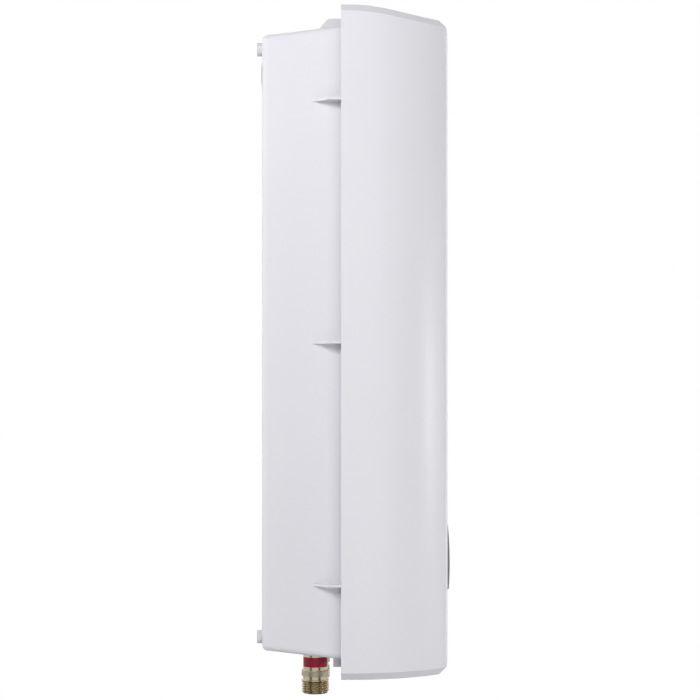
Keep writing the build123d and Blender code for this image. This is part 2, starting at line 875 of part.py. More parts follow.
with BuildPart() as heating_block:
    slab(level(block_bottom, 0, nipple_depth), block_width, block_thickness, block_height, corner=block_corner)
    ear_middles = [(x - block_corner if x > 0 else x + block_corner, z) for x, z in ear_places]
    slab(facing(block_rear), ear_width + 2 * block_corner, ear_height, ear_thickness, ear_middles)
    for plane in (outlet_union, inlet_union):
        drum(plane, spigot_radius, spigot_length)
    chamber_plane = level(chamber_bottom, 0, nipple_depth)
    chamber_places = [(x, 0) for x in chamber_x]
    drum(chamber_plane, chamber_radius, block_height, chamber_places, Mode.SUBTRACT)
    upper_plane = level(block_top - passage_drop - passage_height, 0, nipple_depth)
    lower_place = [(-chamber_pitch / 2, 0)]
    upper_place = [(chamber_pitch / 2, 0)]
    slab(chamber_plane, chamber_pitch, passage_width, passage_height, lower_place, mode=Mode.SUBTRACT)
    slab(upper_plane, chamber_pitch, passage_width, passage_height, upper_place, mode=Mode.SUBTRACT)
    for plane in (outlet_union, inlet_union):
        drum(plane.offset(spigot_length), pipe_radius, -spigot_length - port_reach, mode=Mode.SUBTRACT)
    drum(facing(block_rear), base_screw_radius + seat_gap, ear_thickness, ear_places, Mode.SUBTRACT)
    top_plane = level(block_top, 0, nipple_depth)
    screw_reach = cap_screw_length - cap_thickness - cap_seal_thickness
    drum(top_plane, cap_screw_radius + seat_gap, -screw_reach, cap_screw_places, Mode.SUBTRACT)
    probe_places = [(-chamber_pitch, outlet_sensor_height), (chamber_pitch, inlet_sensor_height)]
    probe_hole = sensor_probe_radius + seat_gap
    drum(facing(block_front), probe_hole, -sensor_probe_length, probe_places, Mode.SUBTRACT)


# Cap of the block and its seal, with holes for the element legs and the screws


def cap_form(base, thickness):
    """Plate of the block's outline with its holes."""
    plane = level(base, 0, nipple_depth)
    slab(plane, block_width, block_thickness, thickness, corner=block_corner)
    drum(plane, element_radius + seat_gap, thickness, left_legs + right_legs, Mode.SUBTRACT)
    drum(plane, cap_screw_radius + seat_gap, thickness, cap_screw_places, Mode.SUBTRACT)


with BuildPart() as block_cap_seal:
    cap_form(block_top, cap_seal_thickness)

with BuildPart() as block_cap:
    cap_form(cap_bottom, cap_thickness)
    # Earth blade standing on the cap
    blade_plane = level(cap_top, earth_blade_x, earth_blade_depth)
    slab(blade_plane, earth_blade_width, earth_blade_thickness, earth_blade_height)

with BuildPart() as block_cap_screws:
    top_plane = level(cap_top, 0, nipple_depth)
    drum(top_plane, cap_screw_head_radius, cap_screw_head_height, cap_screw_places)
    drum(top_plane, cap_screw_radius, -cap_screw_length, cap_screw_places)
    head_plane = top_plane.offset(cap_screw_head_height)
    hexagon(head_plane, cap_screw_socket_size, -cap_screw_socket_depth, cap_screw_places, Mode.SUBTRACT)


# Three hairpin heating elements with a pin on each leg

with BuildPart() as heating_elements:
    bend_radius = element_leg_pitch / 2
    bend_z = element_bottom + bend_radius
    for x in chamber_x:
        with BuildLine() as hairpin:
            Line((x - bend_radius, -nipple_depth, leg_top), (x - bend_radius, -nipple_depth, bend_z))
            ThreePointArc(
                (x - bend_radius, -nipple_depth, bend_z),
                (x, -nipple_depth, element_bottom),
                (x + bend_radius, -nipple_depth, bend_z),
            )
            Line((x + bend_radius, -nipple_depth, bend_z), (x + bend_radius, -nipple_depth, leg_top))
        with BuildSketch(level(leg_top, x - bend_radius, nipple_depth)):
            Circle(element_radius)
        sweep(path=hairpin.line)
    drum(level(leg_top, 0, nipple_depth), pin_radius, pin_length, left_legs + right_legs)

with BuildPart() as element_nuts:
    top_plane = level(cap_top, 0, nipple_depth)
    hexagon(top_plane, element_nut_size, element_nut_height, left_legs + right_legs)
    drum(top_plane, element_radius + seat_gap, element_nut_height, left_legs + right_legs, Mode.SUBTRACT)


# Star bridge: flat bar that joins the left pin of every element

with BuildPart() as star_bridge:
    bridge_plane = level(pin_top - bridge_drop, -element_leg_pitch / 2, nipple_depth)
    pin_plane = level(pin_top - bridge_drop, 0, nipple_depth)
    bridge_length = 2 * chamber_pitch + 2 * bridge_end
    slab(bridge_plane, bridge_length, bridge_width, bridge_thickness)
    drum(pin_plane, pin_radius + seat_gap, bridge_thickness, left_legs, Mode.SUBTRACT)
    drum(pin_plane, pin_radius + bridge_gap, bridge_thickness, right_legs[:-1], Mode.SUBTRACT)


# Power board in front of the block, on four spacers

with BuildPart() as power_board:
    slab(facing(board_rear), board_width, board_height, board_thickness, [(board_x, board_z)], board_corner)
    drum(facing(board_rear), small_screw_radius + seat_gap, board_thickness, board_corners, Mode.SUBTRACT)

with BuildPart() as board_spacers:
    drum(facing(block_front), spacer_radius, spacer_length, board_corners)
    drum(facing(board_rear), small_screw_radius + seat_gap, -small_screw_length, board_corners, Mode.SUBTRACT)

with BuildPart() as small_screws:
    for x, z in board_corners:
        seat = facing(board_front, x, z)
        screw(seat, small_screw_radius, small_screw_length, small_screw_head_radius, small_screw_head_height)
    for x, z in control_posts:
        seat = Plane(origin=(x, -plate_rear, z), x_dir=(1, 0, 0), z_dir=(0, 1, 0))
        screw(seat, small_screw_radius, small_screw_length, small_screw_head_radius, small_screw_head_height)

with BuildPart() as safety_relay:
    slab(facing(board_front, relay_x, relay_z), relay_width, relay_height, relay_depth, corner=component_corner)

with BuildPart() as board_transformer:
    face = facing(board_front, transformer_x, transformer_z)
    slab(face, transformer_width, transformer_height, transformer_depth, corner=component_corner)

with BuildPart() as capacitors:
    drum(facing(board_front), capacitor_radius, capacitor_height, capacitor_places)
    fillet(capacitors.edges().group_by(Axis.Y)[0], component_corner)


# Terminal strip and ribbon sockets of the two boards

with BuildPart() as board_connectors:
    face = facing(board_front)
    slab(face, board_width, terminal_strip_height, terminal_strip_depth, [(board_x, strip_z)])
    strip_screws = [(x, strip_z) for x in board_wire_x + pole_x[1:]]
    strip_face = face.offset(terminal_strip_depth)
    drum(strip_face, strip_screw_radius, -strip_screw_depth, strip_screws, Mode.SUBTRACT)
    slab(face, socket_width, socket_height, socket_depth, [(0, board_bottom + socket_height / 2)])
    display_face = facing(display_board_depth, 0, ribbon_turn_height)
    slab(display_face, socket_width, socket_height, -socket_depth)


# Ribbon cable from the power board down to the control unit, in one bend

with BuildPart() as ribbon_cable:
    with BuildLine() as ribbon_route:
        FilletPolyline(
            (0, -ribbon_depth, board_bottom),
            (0, -ribbon_depth, ribbon_turn_height),
            (0, socket_depth - display_board_depth, ribbon_turn_height),
            radius=ribbon_bend,
        )
    with BuildSketch(level(board_bottom, 0, ribbon_depth)):
        Rectangle(ribbon_width, ribbon_thickness)
    sweep(path=ribbon_route.line)


# Aluminium clamp round the cold pipe with a plate for the switching devices

with BuildPart() as cooling_plate:
    clamp_plane = level(cooling_bottom, cold_x, nipple_depth)
    drum(clamp_plane, cooling_clamp_radius, cooling_height)
    stem_length = cooling_front - cooling_plate_thickness - nipple_depth
    slab(clamp_plane, cooling_stem_width, stem_length, cooling_height, [(0, -stem_length / 2)])
    plate_plane = level(cooling_bottom, cold_x, cooling_front - cooling_plate_thickness / 2)
    slab(plate_plane, cooling_width, cooling_plate_thickness, cooling_height)
    drum(clamp_plane, pipe_radius + seat_gap, cooling_height, mode=Mode.SUBTRACT)

with BuildPart() as triacs:
    slab(facing(cooling_front), triac_width, triac_height, triac_thickness, triac_places)
    lead_bottom = triac_z + triac_height / 2
    lead_length = board_bottom + triac_lead_overlap - lead_bottom
    lead_plane = facing(board_rear, 0, lead_bottom + lead_length / 2)
    lead_places = [(x + n * triac_lead_pitch, 0) for x, _ in triac_places for n in (-1, 0, 1)]
    slab(lead_plane, triac_lead_width, lead_length, -triac_lead_width, lead_places)


# Safety devices on the block, each with a reset button that is pressed in


def reset_well(face):
    """Well for a reset button, deep enough for its travel."""
    drum(face, reset_radius + running_gap, -reset_length, mode=Mode.SUBTRACT)


def reset_form(face):
    """Reset button at rest, its cap clear of the device's face by the travel."""
    cap_plane = face.offset(reset_travel + reset_rest_gap)
    drum(cap_plane, reset_radius, -reset_length)
    drum(cap_plane, reset_cap_radius, reset_cap)


cutout_base = facing(block_front, -chamber_pitch, cutout_height)
limiter_base = facing(block_front, -chamber_pitch, limiter_height)
cutout_face = cutout_base.offset(cutout_body)
limiter_face = limiter_base.offset(limiter_body)

with BuildPart() as thermal_cutout:
    slab(cutout_base, cutout_flange_width, cutout_flange_height, cutout_flange, corner=cutout_flange_corner)
    drum(cutout_base, cutout_radius, cutout_body)
    reset_well(cutout_face)

with BuildPart() as cutout_reset_button:
    reset_form(cutout_face)
    fillet(cutout_reset_button.edges().group_by(Axis.Y)[0], reset_rounding)

with BuildPart() as pressure_limiter:
    hexagon(limiter_base, limiter_hex_size, limiter_hex)
    drum(limiter_base.offset(limiter_hex), limiter_radius, limiter_body - limiter_hex)
    reset_well(limiter_face)

with BuildPart() as limiter_reset_button:
    reset_form(limiter_face)
    fillet(limiter_reset_button.edges().group_by(Axis.Y)[0], reset_rounding)

with BuildPart() as temperature_sensors:
    drum(facing(block_front), sensor_probe_radius, -sensor_probe_length, probe_places)
    hexagon(facing(block_front), sensor_hex_size, sensor_hex, probe_places)
    drum(facing(block_front + sensor_hex), sensor_body_radius, sensor_body, probe_places)


# Inlet filter: slotted strainer cup in the upper bore of the shut-off valve

with BuildPart() as inlet_filter:
    filter_plane = level(flow_bottom - filter_length, cold_x, nipple_depth)
    drum(filter_plane, filter_rim_radius, filter_rim)
    drum(filter_plane, filter_radius, filter_length)
    drum(filter_plane, filter_radius - filter_wall, filter_length - filter_wall, mode=Mode.SUBTRACT)
    with BuildSketch(filter_plane.offset(filter_slot_start)):
        with PolarLocations(filter_radius, filter_slots):
            Rectangle(4 * filter_wall, filter_slot)
    extrude(amount=filter_slot_length, mode=Mode.SUBTRACT)


# Shut-off valve: body, ball and the slotted spindle that turns it

ball_face = facing(nipple_depth, cold_x, ball_height)

with BuildPart() as shutoff_valve_body:
    valve_plane = level(valve_bottom, cold_x, nipple_depth)
    drum(valve_plane, valve_radius, valve_length)
    drum(ball_face, spindle_boss_radius, spindle_boss)
    drum(valve_plane, spigot_radius + seat_gap, spigot_length, mode=Mode.SUBTRACT)
    drum(valve_plane, valve_bore_radius, valve_length, mode=Mode.SUBTRACT)
    with Locations((cold_x, -nipple_depth, ball_height)):
        Sphere(ball_radius + ball_gap, mode=Mode.SUBTRACT)
    drum(ball_face, spindle_radius + running_gap, spindle_boss, mode=Mode.SUBTRACT)

with BuildPart() as shutoff_ball:
    with Locations((cold_x, -nipple_depth, ball_height)):
        Sphere(ball_radius)
    bore_plane = level(ball_height - ball_radius, cold_x, nipple_depth)
    drum(bore_plane, ball_bore_radius, 2 * ball_radius, mode=Mode.SUBTRACT)
    drum(ball_face.offset(spindle_inset), spindle_radius + seat_gap, ball_radius, mode=Mode.SUBTRACT)

with BuildPart() as shutoff_spindle:
    drum(ball_face.offset(spindle_inset), spindle_radius, spindle_length)
    head_plane = ball_face.offset(spindle_inset + spindle_length)
    drum(head_plane, spindle_head_radius, spindle_head)
    slot_plane = head_plane.offset(spindle_head)
    slab(slot_plane, spindle_slot, 3 * spindle_head_radius, -spindle_slot, mode=Mode.SUBTRACT)


# Flow sensor: tube, two spiders, turbine on its shaft and the pick-up

with BuildPart() as flow_sensor_body:
    flow_plane = level(flow_bottom, cold_x, nipple_depth)
    drum(flow_plane, flow_radius, flow_length)
    drum(flow_union, spigot_radius, spigot_length)
    slab(facing(nipple_depth, cold_x, rotor_z), pickup_width, pickup_height, flow_radius + pickup_pad)
    drum(flow_plane, pipe_radius, flow_length + spigot_length, mode=Mode.SUBTRACT)
    chamber_length = flow_length - 2 * flow_end_wall
    drum(flow_plane.offset(flow_end_wall), flow_bore_radius, chamber_length, mode=Mode.SUBTRACT)

with BuildPart() as turbine_bearings:
    rim_radius = flow_bore_radius - seat_gap
    for height in (flow_bottom + flow_end_wall, flow_top - flow_end_wall - bearing_length):
        with BuildSketch(level(height, cold_x, nipple_depth)):
            Circle(rim_radius)
            Circle(rim_radius - bearing_arm, mode=Mode.SUBTRACT)
            with PolarLocations(rim_radius / 2, bearing_arms):
                Rectangle(rim_radius - bearing_arm / 2, bearing_arm)
            Circle(bearing_hub_radius)
            Circle(rotor_shaft_radius + running_gap, mode=Mode.SUBTRACT)
        extrude(amount=bearing_length)

with BuildPart() as turbine_rotor:
    rotor_plane = level(rotor_bottom, cold_x, nipple_depth)
    blade_length = rotor_radius - blade_root_radius
    for blade in range(rotor_blades):
        turn = Location((cold_x, -nipple_depth, rotor_z), (0, 0, blade * 360 / rotor_blades))
        tilt = Location((blade_root_radius + blade_length / 2, 0, 0), (blade_angle, 0, 0))
        with Locations(turn * tilt):
            Box(blade_length, blade_thickness, 2 * rotor_length)
    with BuildSketch(rotor_plane):
        Circle(rotor_radius)
    extrude(amount=rotor_length, mode=Mode.INTERSECT)
    drum(rotor_plane, rotor_hub_radius, rotor_length)
    drum(rotor_plane, rotor_shaft_radius, rotor_length, mode=Mode.SUBTRACT)

with BuildPart() as rotor_shaft:
    shaft_plane = level(rotor_z - rotor_shaft_length / 2, cold_x, nipple_depth)
    drum(shaft_plane, rotor_shaft_radius, rotor_shaft_length)

with BuildPart() as flow_pickup:
    pickup_plane = facing(nipple_depth + flow_radius + pickup_pad, cold_x, rotor_z)
    slab(pickup_plane, pickup_width, pickup_height, pickup_thickness, corner=pickup_corner)


# Display lens: dark domed disc with a skirt, tilted so that its lower edge stands out

lens_tilt = radians(lens_tilt_angle)
lens_normal = (0, -cos(lens_tilt), sin(lens_tilt))
dome_radius = (lens_radius**2 + lens_dome**2) / (2 * lens_dome)
lens_rim = Plane(origin=(0, -lens_rim_depth, control_height), x_dir=(1, 0, 0), z_dir=lens_normal)

with BuildPart() as display_lens:
    lens_rear = facing(lens_rear_depth, 0, control_height)
    drum(lens_rear, lens_radius, cover_front - lens_rear_depth + overrun)
    with Locations(lens_rim.offset(lens_dome - dome_radius).origin):
        Sphere(dome_radius, mode=Mode.INTERSECT)
    drum(lens_rear, lens_radius - lens_wall, lens_rim_depth - lens_wall - lens_rear_depth, mode=Mode.SUBTRACT)


# Control housing: round cup with posts for the board and a ledge for the lens


def ribbon_slot(plane, thickness):
    """Slot that lets the ribbon cable through a plate."""
    slab(plane, ribbon_slot_width, ribbon_slot_height, thickness, [(0, socket_z)], mode=Mode.SUBTRACT)


with BuildPart() as control_housing:
    housing_rear = facing(control_rear_depth, 0, control_height)
    housing_length = control_front_depth - control_rear_depth
    drum(housing_rear, control_radius, housing_length)
    housing_floor = housing_rear.offset(control_wall)
    cup_length = ledge_rear - control_rear_depth - control_wall
    drum(housing_floor, control_radius - control_wall, cup_length, mode=Mode.SUBTRACT)
    drum(housing_floor, lens_ledge_radius, housing_length, mode=Mode.SUBTRACT)
    drum(facing(lens_rear_depth, 0, control_height), lens_radius + seat_gap, housing_length, mode=Mode.SUBTRACT)
    post_length = display_board_depth - control_rear_depth
    drum(facing(control_rear_depth), control_post_radius, post_length, control_posts)
    post_hole = small_screw_radius + seat_gap
    drum(facing(control_rear_depth), post_hole, small_screw_length, control_posts, Mode.SUBTRACT)
    ribbon_slot(housing_rear, control_wall)


# Hollow column from the case back to the control unit, with a foot and a head plate

with BuildPart() as control_column:
    foot_plane = facing(boss_top, 0, column_z)
    column_length = plate_rear - boss_top
    slab(foot_plane, column_foot_width, column_height, plate_thickness)
    slab(foot_plane, column_width, column_height, column_length)
    head_plane = facing(plate_rear, 0, control_height)
    drum(head_plane, control_radius, plate_thickness)
    hollow_plane = foot_plane.offset(plate_thickness)
    hollow_width = column_width - 2 * column_wall
    hollow_length = column_length - plate_thickness
    slab(hollow_plane, hollow_width, column_height, hollow_length, [(0, -column_wall)], mode=Mode.SUBTRACT)
    ribbon_slot(head_plane, plate_thickness)
    plate_hole = small_screw_radius + seat_gap
    drum(facing(plate_rear), plate_hole, plate_thickness, control_posts, Mode.SUBTRACT)
    drum(facing(boss_top), base_screw_radius + seat_gap, plate_thickness, column_screws, Mode.SUBTRACT)


# Round display board on the housing's posts and the display on it

with BuildPart() as display_board:
    drum(facing(display_board_depth, 0, control_height), display_board_radius, board_thickness)

with BuildPart() as display_module:
    display_plane = facing(display_board_depth + board_thickness, 0, control_height)
    slab(display_plane, display_width, display_height, display_thickness, corner=component_corner)


# Four-pole terminal block with a screw ear at each end

with BuildPart() as terminal_block:
    base_plane = facing(boss_top)
    slab(base_plane, terminal_width, terminal_height, terminal_thickness, [(terminal_x, terminal_z)])
    slab(base_plane, terminal_ear_width, terminal_ear_height, plate_thickness, terminal_ears)
    screw_row = [(x, terminal_bottom + terminal_screw_row) for x in pole_x]
    screw_hole = terminal_screw_radius + seat_gap
    drum(facing(terminal_front), screw_hole, -terminal_screw_depth, screw_row, Mode.SUBTRACT)
    entry_plane = level(terminal_top, 0, terminal_front - terminal_hole_setback)
    entries = [(x, 0) for x in pole_x]
    drum(entry_plane, terminal_hole_radius, -terminal_hole_depth, entries, Mode.SUBTRACT)
    drum(base_plane, base_screw_radius + seat_gap, plate_thickness, terminal_ears, Mode.SUBTRACT)

with BuildPart() as terminal_screws:
    screw_plane = facing(terminal_front - terminal_screw_depth)
    drum(screw_plane, terminal_screw_radius, terminal_screw_length, screw_row)
    slot_plane = screw_plane.offset(terminal_screw_length)
    slab(slot_plane, 2 * terminal_screw_radius, recess_width, -recess_depth, screw_row, mode=Mode.SUBTRACT)


# Screws into the bosses of the case back

with BuildPart() as base_screws:
    seats = [facing(block_rear + ear_thickness, x, z) for x, z in ear_places]
    seats += [facing(boss_top + bracket_thickness, x, z) for x, z in bracket_screws]
    plate_seats = column_screws + terminal_ears + clamp_screws
    seats += [facing(boss_top + plate_thickness, x, z) for x, z in plate_seats]
    for seat in seats:
        screw(seat, boss_hole_radius, base_screw_length, base_screw_head_radius, base_screw_head_height)


# Cable entry: rubber grommet in the case back and a saddle that grips the cable

with BuildPart() as cable_grommet:
    outer_plane = facing(pad_thickness - grommet_lip, entry_x, entry_height)
    grommet_length = case_wall + 2 * grommet_lip
    drum(outer_plane, grommet_lip_radius, grommet_lip)
    drum(outer_plane, entry_radius - seat_gap, grommet_length)
    drum(facing(case_floor, entry_x, entry_height), grommet_lip_radius, grommet_lip)
    drum(outer_plane, grommet_bore_radius, grommet_length, mode=Mode.SUBTRACT)

with BuildPart() as cable_clamp:
    saddle_plane = facing(boss_top, clamp_x, entry_height)
    slab(saddle_plane, clamp_width, clamp_length, plate_thickness, corner=clamp_corner)
    slab(saddle_plane, clamp_width, clamp_arch_length, clamp_arch_height)
    with BuildSketch(Plane.YZ.offset(clamp_x - clamp_width)):
        with Locations((-boss_top, entry_height)):
            Circle(clamp_grip_radius)
    extrude(amount=2 * clamp_width, mode=Mode.SUBTRACT)
    drum(facing(boss_top), base_screw_radius + seat_gap, plate_thickness, clamp_screws, Mode.SUBTRACT)


# Wires inside the heater


def wire(corners, radius):
    """Round wire along straight runs and equal bends."""
    with BuildLine() as route:
        FilletPolyline(corners, radius=wire_bend)
    with BuildSketch(Plane(origin=corners[0], z_dir=route.line % 0)) as section:
        Circle(radius)
    sweep(section.sketch, path=route.line)


with BuildPart() as phase_wires:
    for x in pole_x[1:]:
        start = (x, -terminal_front, wire_row_z)
        turn = (x, -wire_front_depth, wire_row_z)
        wire([start, turn, (x, -wire_front_depth, strip_top)], phase_wire_radius)

with BuildPart() as earth_wire:
    receptacle_plane = level(cap_top, earth_blade_x, earth_blade_depth)
    receptacle_top = cap_top + receptacle_height
    start = (earth_blade_x, -terminal_front, wire_row_z)
    turn = (earth_blade_x, -earth_blade_depth, wire_row_z)
    wire([start, turn, (earth_blade_x, -earth_blade_depth, receptacle_top)], phase_wire_radius)
    slab(receptacle_plane.offset(seat_gap), receptacle_width, receptacle_thickness, receptacle_height)
    slab(receptacle_plane, earth_blade_width, earth_blade_thickness, earth_blade_height, mode=Mode.SUBTRACT)

with BuildPart() as element_wires:
    for start_x, end_x in zip(element_wire_x, board_wire_x):
        corners = [
            (start_x, -nipple_depth - pin_radius, pin_wire_z),
            (start_x, -wire_front_depth, pin_wire_z),
            (end_x, -wire_front_depth, strip_top + wire_end_straight),
            (end_x, -wire_front_depth, strip_top),
        ]
        if start_x == end_x:
            del corners[2]
        wire(corners, element_wire_radius)


# Every piece is labelled and written under its own name

os.makedirs("parts", exist_ok=True)

rear_case.part.label = "rear_case"
export_step(rear_case.part, "parts/rear_case.step")
wall_pads.part.label = "wall_pads"
export_step(wall_pads.part, "parts/wall_pads.step")
front_cover.part.label = "front_cover"
export_step(front_cover.part, "parts/front_cover.step")
cover_screws.part.label = "cover_screws"
export_step(cover_screws.part, "parts/cover_screws.step")
cover_screw_nuts.part.label = "cover_screw_nuts"
export_step(cover_screw_nuts.part, "parts/cover_screw_nuts.step")
hot_nipple.part.label = "hot_nipple"
export_step(hot_nipple.part, "parts/hot_nipple.step")
cold_nipple.part.label = "cold_nipple"
export_step(cold_nipple.part, "parts/cold_nipple.step")
hot_ring.part.label = "hot_ring"
export_step(hot_ring.part, "parts/hot_ring.step")
cold_ring.part.label = "cold_ring"
export_step(cold_ring.part, "parts/cold_ring.step")
nipple_sleeves.part.label = "nipple_sleeves"
export_step(nipple_sleeves.part, "parts/nipple_sleeves.step")
nipple_bracket.part.label = "nipple_bracket"
export_step(nipple_bracket.part, "parts/nipple_bracket.step")
nipple_nuts.part.label = "nipple_nuts"
export_step(nipple_nuts.part, "parts/nipple_nuts.step")
union_nuts.part.label = "union_nuts"
export_step(union_nuts.part, "parts/union_nuts.step")
union_washers.part.label = "union_washers"
export_step(union_washers.part, "parts/union_washers.step")
outlet_pipe.part.label = "outlet_pipe"
export_step(outlet_pipe.part, "parts/outlet_pipe.step")
inlet_pipe.part.label = "inlet_pipe"
export_step(inlet_pipe.part, "parts/inlet_pipe.step")
heating_block.part.label = "heating_block"
export_step(heating_block.part, "parts/heating_block.step")
block_cap_seal.part.label = "block_cap_seal"
export_step(block_cap_seal.part, "parts/block_cap_seal.step")
block_cap.part.label = "block_cap"
export_step(block_cap.part, "parts/block_cap.step")
block_cap_screws.part.label = "block_cap_screws"
export_step(block_cap_screws.part, "parts/block_cap_screws.step")
heating_elements.part.label = "heating_elements"
export_step(heating_elements.part, "parts/heating_elements.step")
element_nuts.part.label = "element_nuts"
export_step(element_nuts.part, "parts/element_nuts.step")
star_bridge.part.label = "star_bridge"
export_step(star_bridge.part, "parts/star_bridge.step")
power_board.part.label = "power_board"
export_step(power_board.part, "parts/power_board.step")
board_spacers.part.label = "board_spacers"
export_step(board_spacers.part, "parts/board_spacers.step")
small_screws.part.label = "small_screws"
export_step(small_screws.part, "parts/small_screws.step")
safety_relay.part.label = "safety_relay"
export_step(safety_relay.part, "parts/safety_relay.step")
board_transformer.part.label = "board_transformer"
export_step(board_transformer.part, "parts/board_transformer.step")
capacitors.part.label = "capacitors"
export_step(capacitors.part, "parts/capacitors.step")
board_connectors.part.label = "board_connectors"
export_step(board_connectors.part, "parts/board_connectors.step")
ribbon_cable.part.label = "ribbon_cable"
export_step(ribbon_cable.part, "parts/ribbon_cable.step")
cooling_plate.part.label = "cooling_plate"
export_step(cooling_plate.part, "parts/cooling_plate.step")
triacs.part.label = "triacs"
export_step(triacs.part, "parts/triacs.step")
thermal_cutout.part.label = "thermal_cutout"
export_step(thermal_cutout.part, "parts/thermal_cutout.step")
cutout_reset_button.part.label = "cutout_reset_button"
export_step(cutout_reset_button.part, "parts/cutout_reset_button.step")
pressure_limiter.part.label = "pressure_limiter"
export_step(pressure_limiter.part, "parts/pressure_limiter.step")
limiter_reset_button.part.label = "limiter_reset_button"
export_step(limiter_reset_button.part, "parts/limiter_reset_button.step")
temperature_sensors.part.label = "temperature_sensors"
export_step(temperature_sensors.part, "parts/temperature_sensors.step")
inlet_filter.part.label = "inlet_filter"
export_step(inlet_filter.part, "parts/inlet_filter.step")
shutoff_valve_body.part.label = "shutoff_valve_body"
export_step(shutoff_valve_body.part, "parts/shutoff_valve_body.step")
shutoff_ball.part.label = "shutoff_ball"
export_step(shutoff_ball.part, "parts/shutoff_ball.step")
shutoff_spindle.part.label = "shutoff_spindle"
export_step(shutoff_spindle.part, "parts/shutoff_spindle.step")
flow_sensor_body.part.label = "flow_sensor_body"
export_step(flow_sensor_body.part, "parts/flow_sensor_body.step")
turbine_bearings.part.label = "turbine_bearings"
export_step(turbine_bearings.part, "parts/turbine_bearings.step")
turbine_rotor.part.label = "turbine_rotor"
export_step(turbine_rotor.part, "parts/turbine_rotor.step")
rotor_shaft.part.label = "rotor_shaft"
export_step(rotor_shaft.part, "parts/rotor_shaft.step")
flow_pickup.part.label = "flow_pickup"
export_step(flow_pickup.part, "parts/flow_pickup.step")
display_lens.part.label = "display_lens"
export_step(display_lens.part, "parts/display_lens.step")
control_housing.part.label = "control_housing"
export_step(control_housing.part, "parts/control_housing.step")
control_column.part.label = "control_column"
export_step(control_column.part, "parts/control_column.step")
display_board.part.label = "display_board"
export_step(display_board.part, "parts/display_board.step")
display_module.part.label = "display_module"
export_step(display_module.part, "parts/display_module.step")
terminal_block.part.label = "terminal_block"
export_step(terminal_block.part, "parts/terminal_block.step")
terminal_screws.part.label = "terminal_screws"
export_step(terminal_screws.part, "parts/terminal_screws.step")
base_screws.part.label = "base_screws"
export_step(base_screws.part, "parts/base_screws.step")
cable_grommet.part.label = "cable_grommet"
export_step(cable_grommet.part, "parts/cable_grommet.step")
cable_clamp.part.label = "cable_clamp"
export_step(cable_clamp.part, "parts/cable_clamp.step")
phase_wires.part.label = "phase_wires"
export_step(phase_wires.part, "parts/phase_wires.step")
earth_wire.part.label = "earth_wire"
export_step(earth_wire.part, "parts/earth_wire.step")
element_wires.part.label = "element_wires"
export_step(element_wires.part, "parts/element_wires.step")
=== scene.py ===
from math import cos, pi, radians, sin

import bmesh
import bpy
from mathutils import Matrix, Vector


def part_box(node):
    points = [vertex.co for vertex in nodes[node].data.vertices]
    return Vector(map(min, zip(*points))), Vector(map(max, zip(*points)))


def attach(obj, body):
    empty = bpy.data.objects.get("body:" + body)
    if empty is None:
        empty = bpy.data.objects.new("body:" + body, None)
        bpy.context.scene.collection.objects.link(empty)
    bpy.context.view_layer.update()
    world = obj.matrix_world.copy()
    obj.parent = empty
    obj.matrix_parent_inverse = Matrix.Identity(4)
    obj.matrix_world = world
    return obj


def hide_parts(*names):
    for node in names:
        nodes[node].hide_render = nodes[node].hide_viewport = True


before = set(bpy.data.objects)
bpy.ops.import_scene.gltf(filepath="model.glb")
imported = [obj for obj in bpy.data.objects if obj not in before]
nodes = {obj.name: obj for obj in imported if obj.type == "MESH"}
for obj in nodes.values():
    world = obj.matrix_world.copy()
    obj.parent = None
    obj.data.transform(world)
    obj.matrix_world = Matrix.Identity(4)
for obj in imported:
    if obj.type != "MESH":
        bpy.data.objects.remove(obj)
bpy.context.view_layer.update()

scene = bpy.context.scene
MM = 0.001

# Water nipples in millimetres: places, heights from the free end up, radii, then the thread's make

NIPPLE_X = 35.0
NIPPLE_DEPTH = 41.3
PITCH = 1.814
END = -264.8
THREAD_TOP = END + 5 * PITCH
FLANGE_TOP = END + 10.35
COLLAR = END + 13.20
COLLAR_TOP = END + 17.60
NECK_TOP = END + 20.40
RING_TOP = END + 27.70
HEXAGON = -210.0
HEXAGON_TOP = -202.0
UPPER_END = -194.0
BORE = 6.5
RING_SEAT = 8.0
UPPER = 9.0
SHOULDER = 9.24
ROOT = 9.32
NECK = 9.36
CREST = 10.48
ACROSS_FLATS = 24.0
HEXAGON_CORNER = 13.35
CHAMFER = 0.3
SEGMENTS = 120
THREAD_STEPS = 70
FLANK_SLOPE = 1.45
ROOT_FLAT = 0.22
LEAD_DROP = 0.35
LEAD_SLOPE = 0.9

# Faces and middles of the inner assemblies in millimetres: depth from the wall, or x, or z

BLOCK_FACE = 62.3
TAB_FACE = 71.9
TRIAC_FACE = 76.3
BOARD_FACE = 77.9
RELAY_FACE = 101.9
CAPACITOR_X = 5.0
CAPACITOR_Z = (40.0, 55.0, 70.0)
CAPACITOR_FACE = 97.9
TRANSFORMER_X = (21.2, 54.8)
TRANSFORMER_Z = (0.4, 27.6)
TRIAC_X = (19.0, 35.0, 51.0)
TAPE_EDGES = (5.5, 22.5)

# Camera: level, square to the heater's left side, as the photograph was taken

IMAGE = 700.0
CAMERA_PLACE = (-1.340, -0.0678, -0.04155)
camera_data = bpy.data.cameras.new("camera")
camera = bpy.data.objects.new("camera", camera_data)
scene.collection.objects.link(camera)
scene.camera = camera
camera_data.sensor_width = 36.0
camera_data.lens = 87.93
camera_data.shift_y = 50.0 / IMAGE
camera_data.clip_start = 0.05
camera_data.clip_end = 60.0
turn = Matrix(((0, 0, -1), (-1, 0, 0), (0, 1, 0)))
camera.matrix_world = Matrix.Translation(CAMERA_PLACE) @ turn.to_4x4()


# Materials


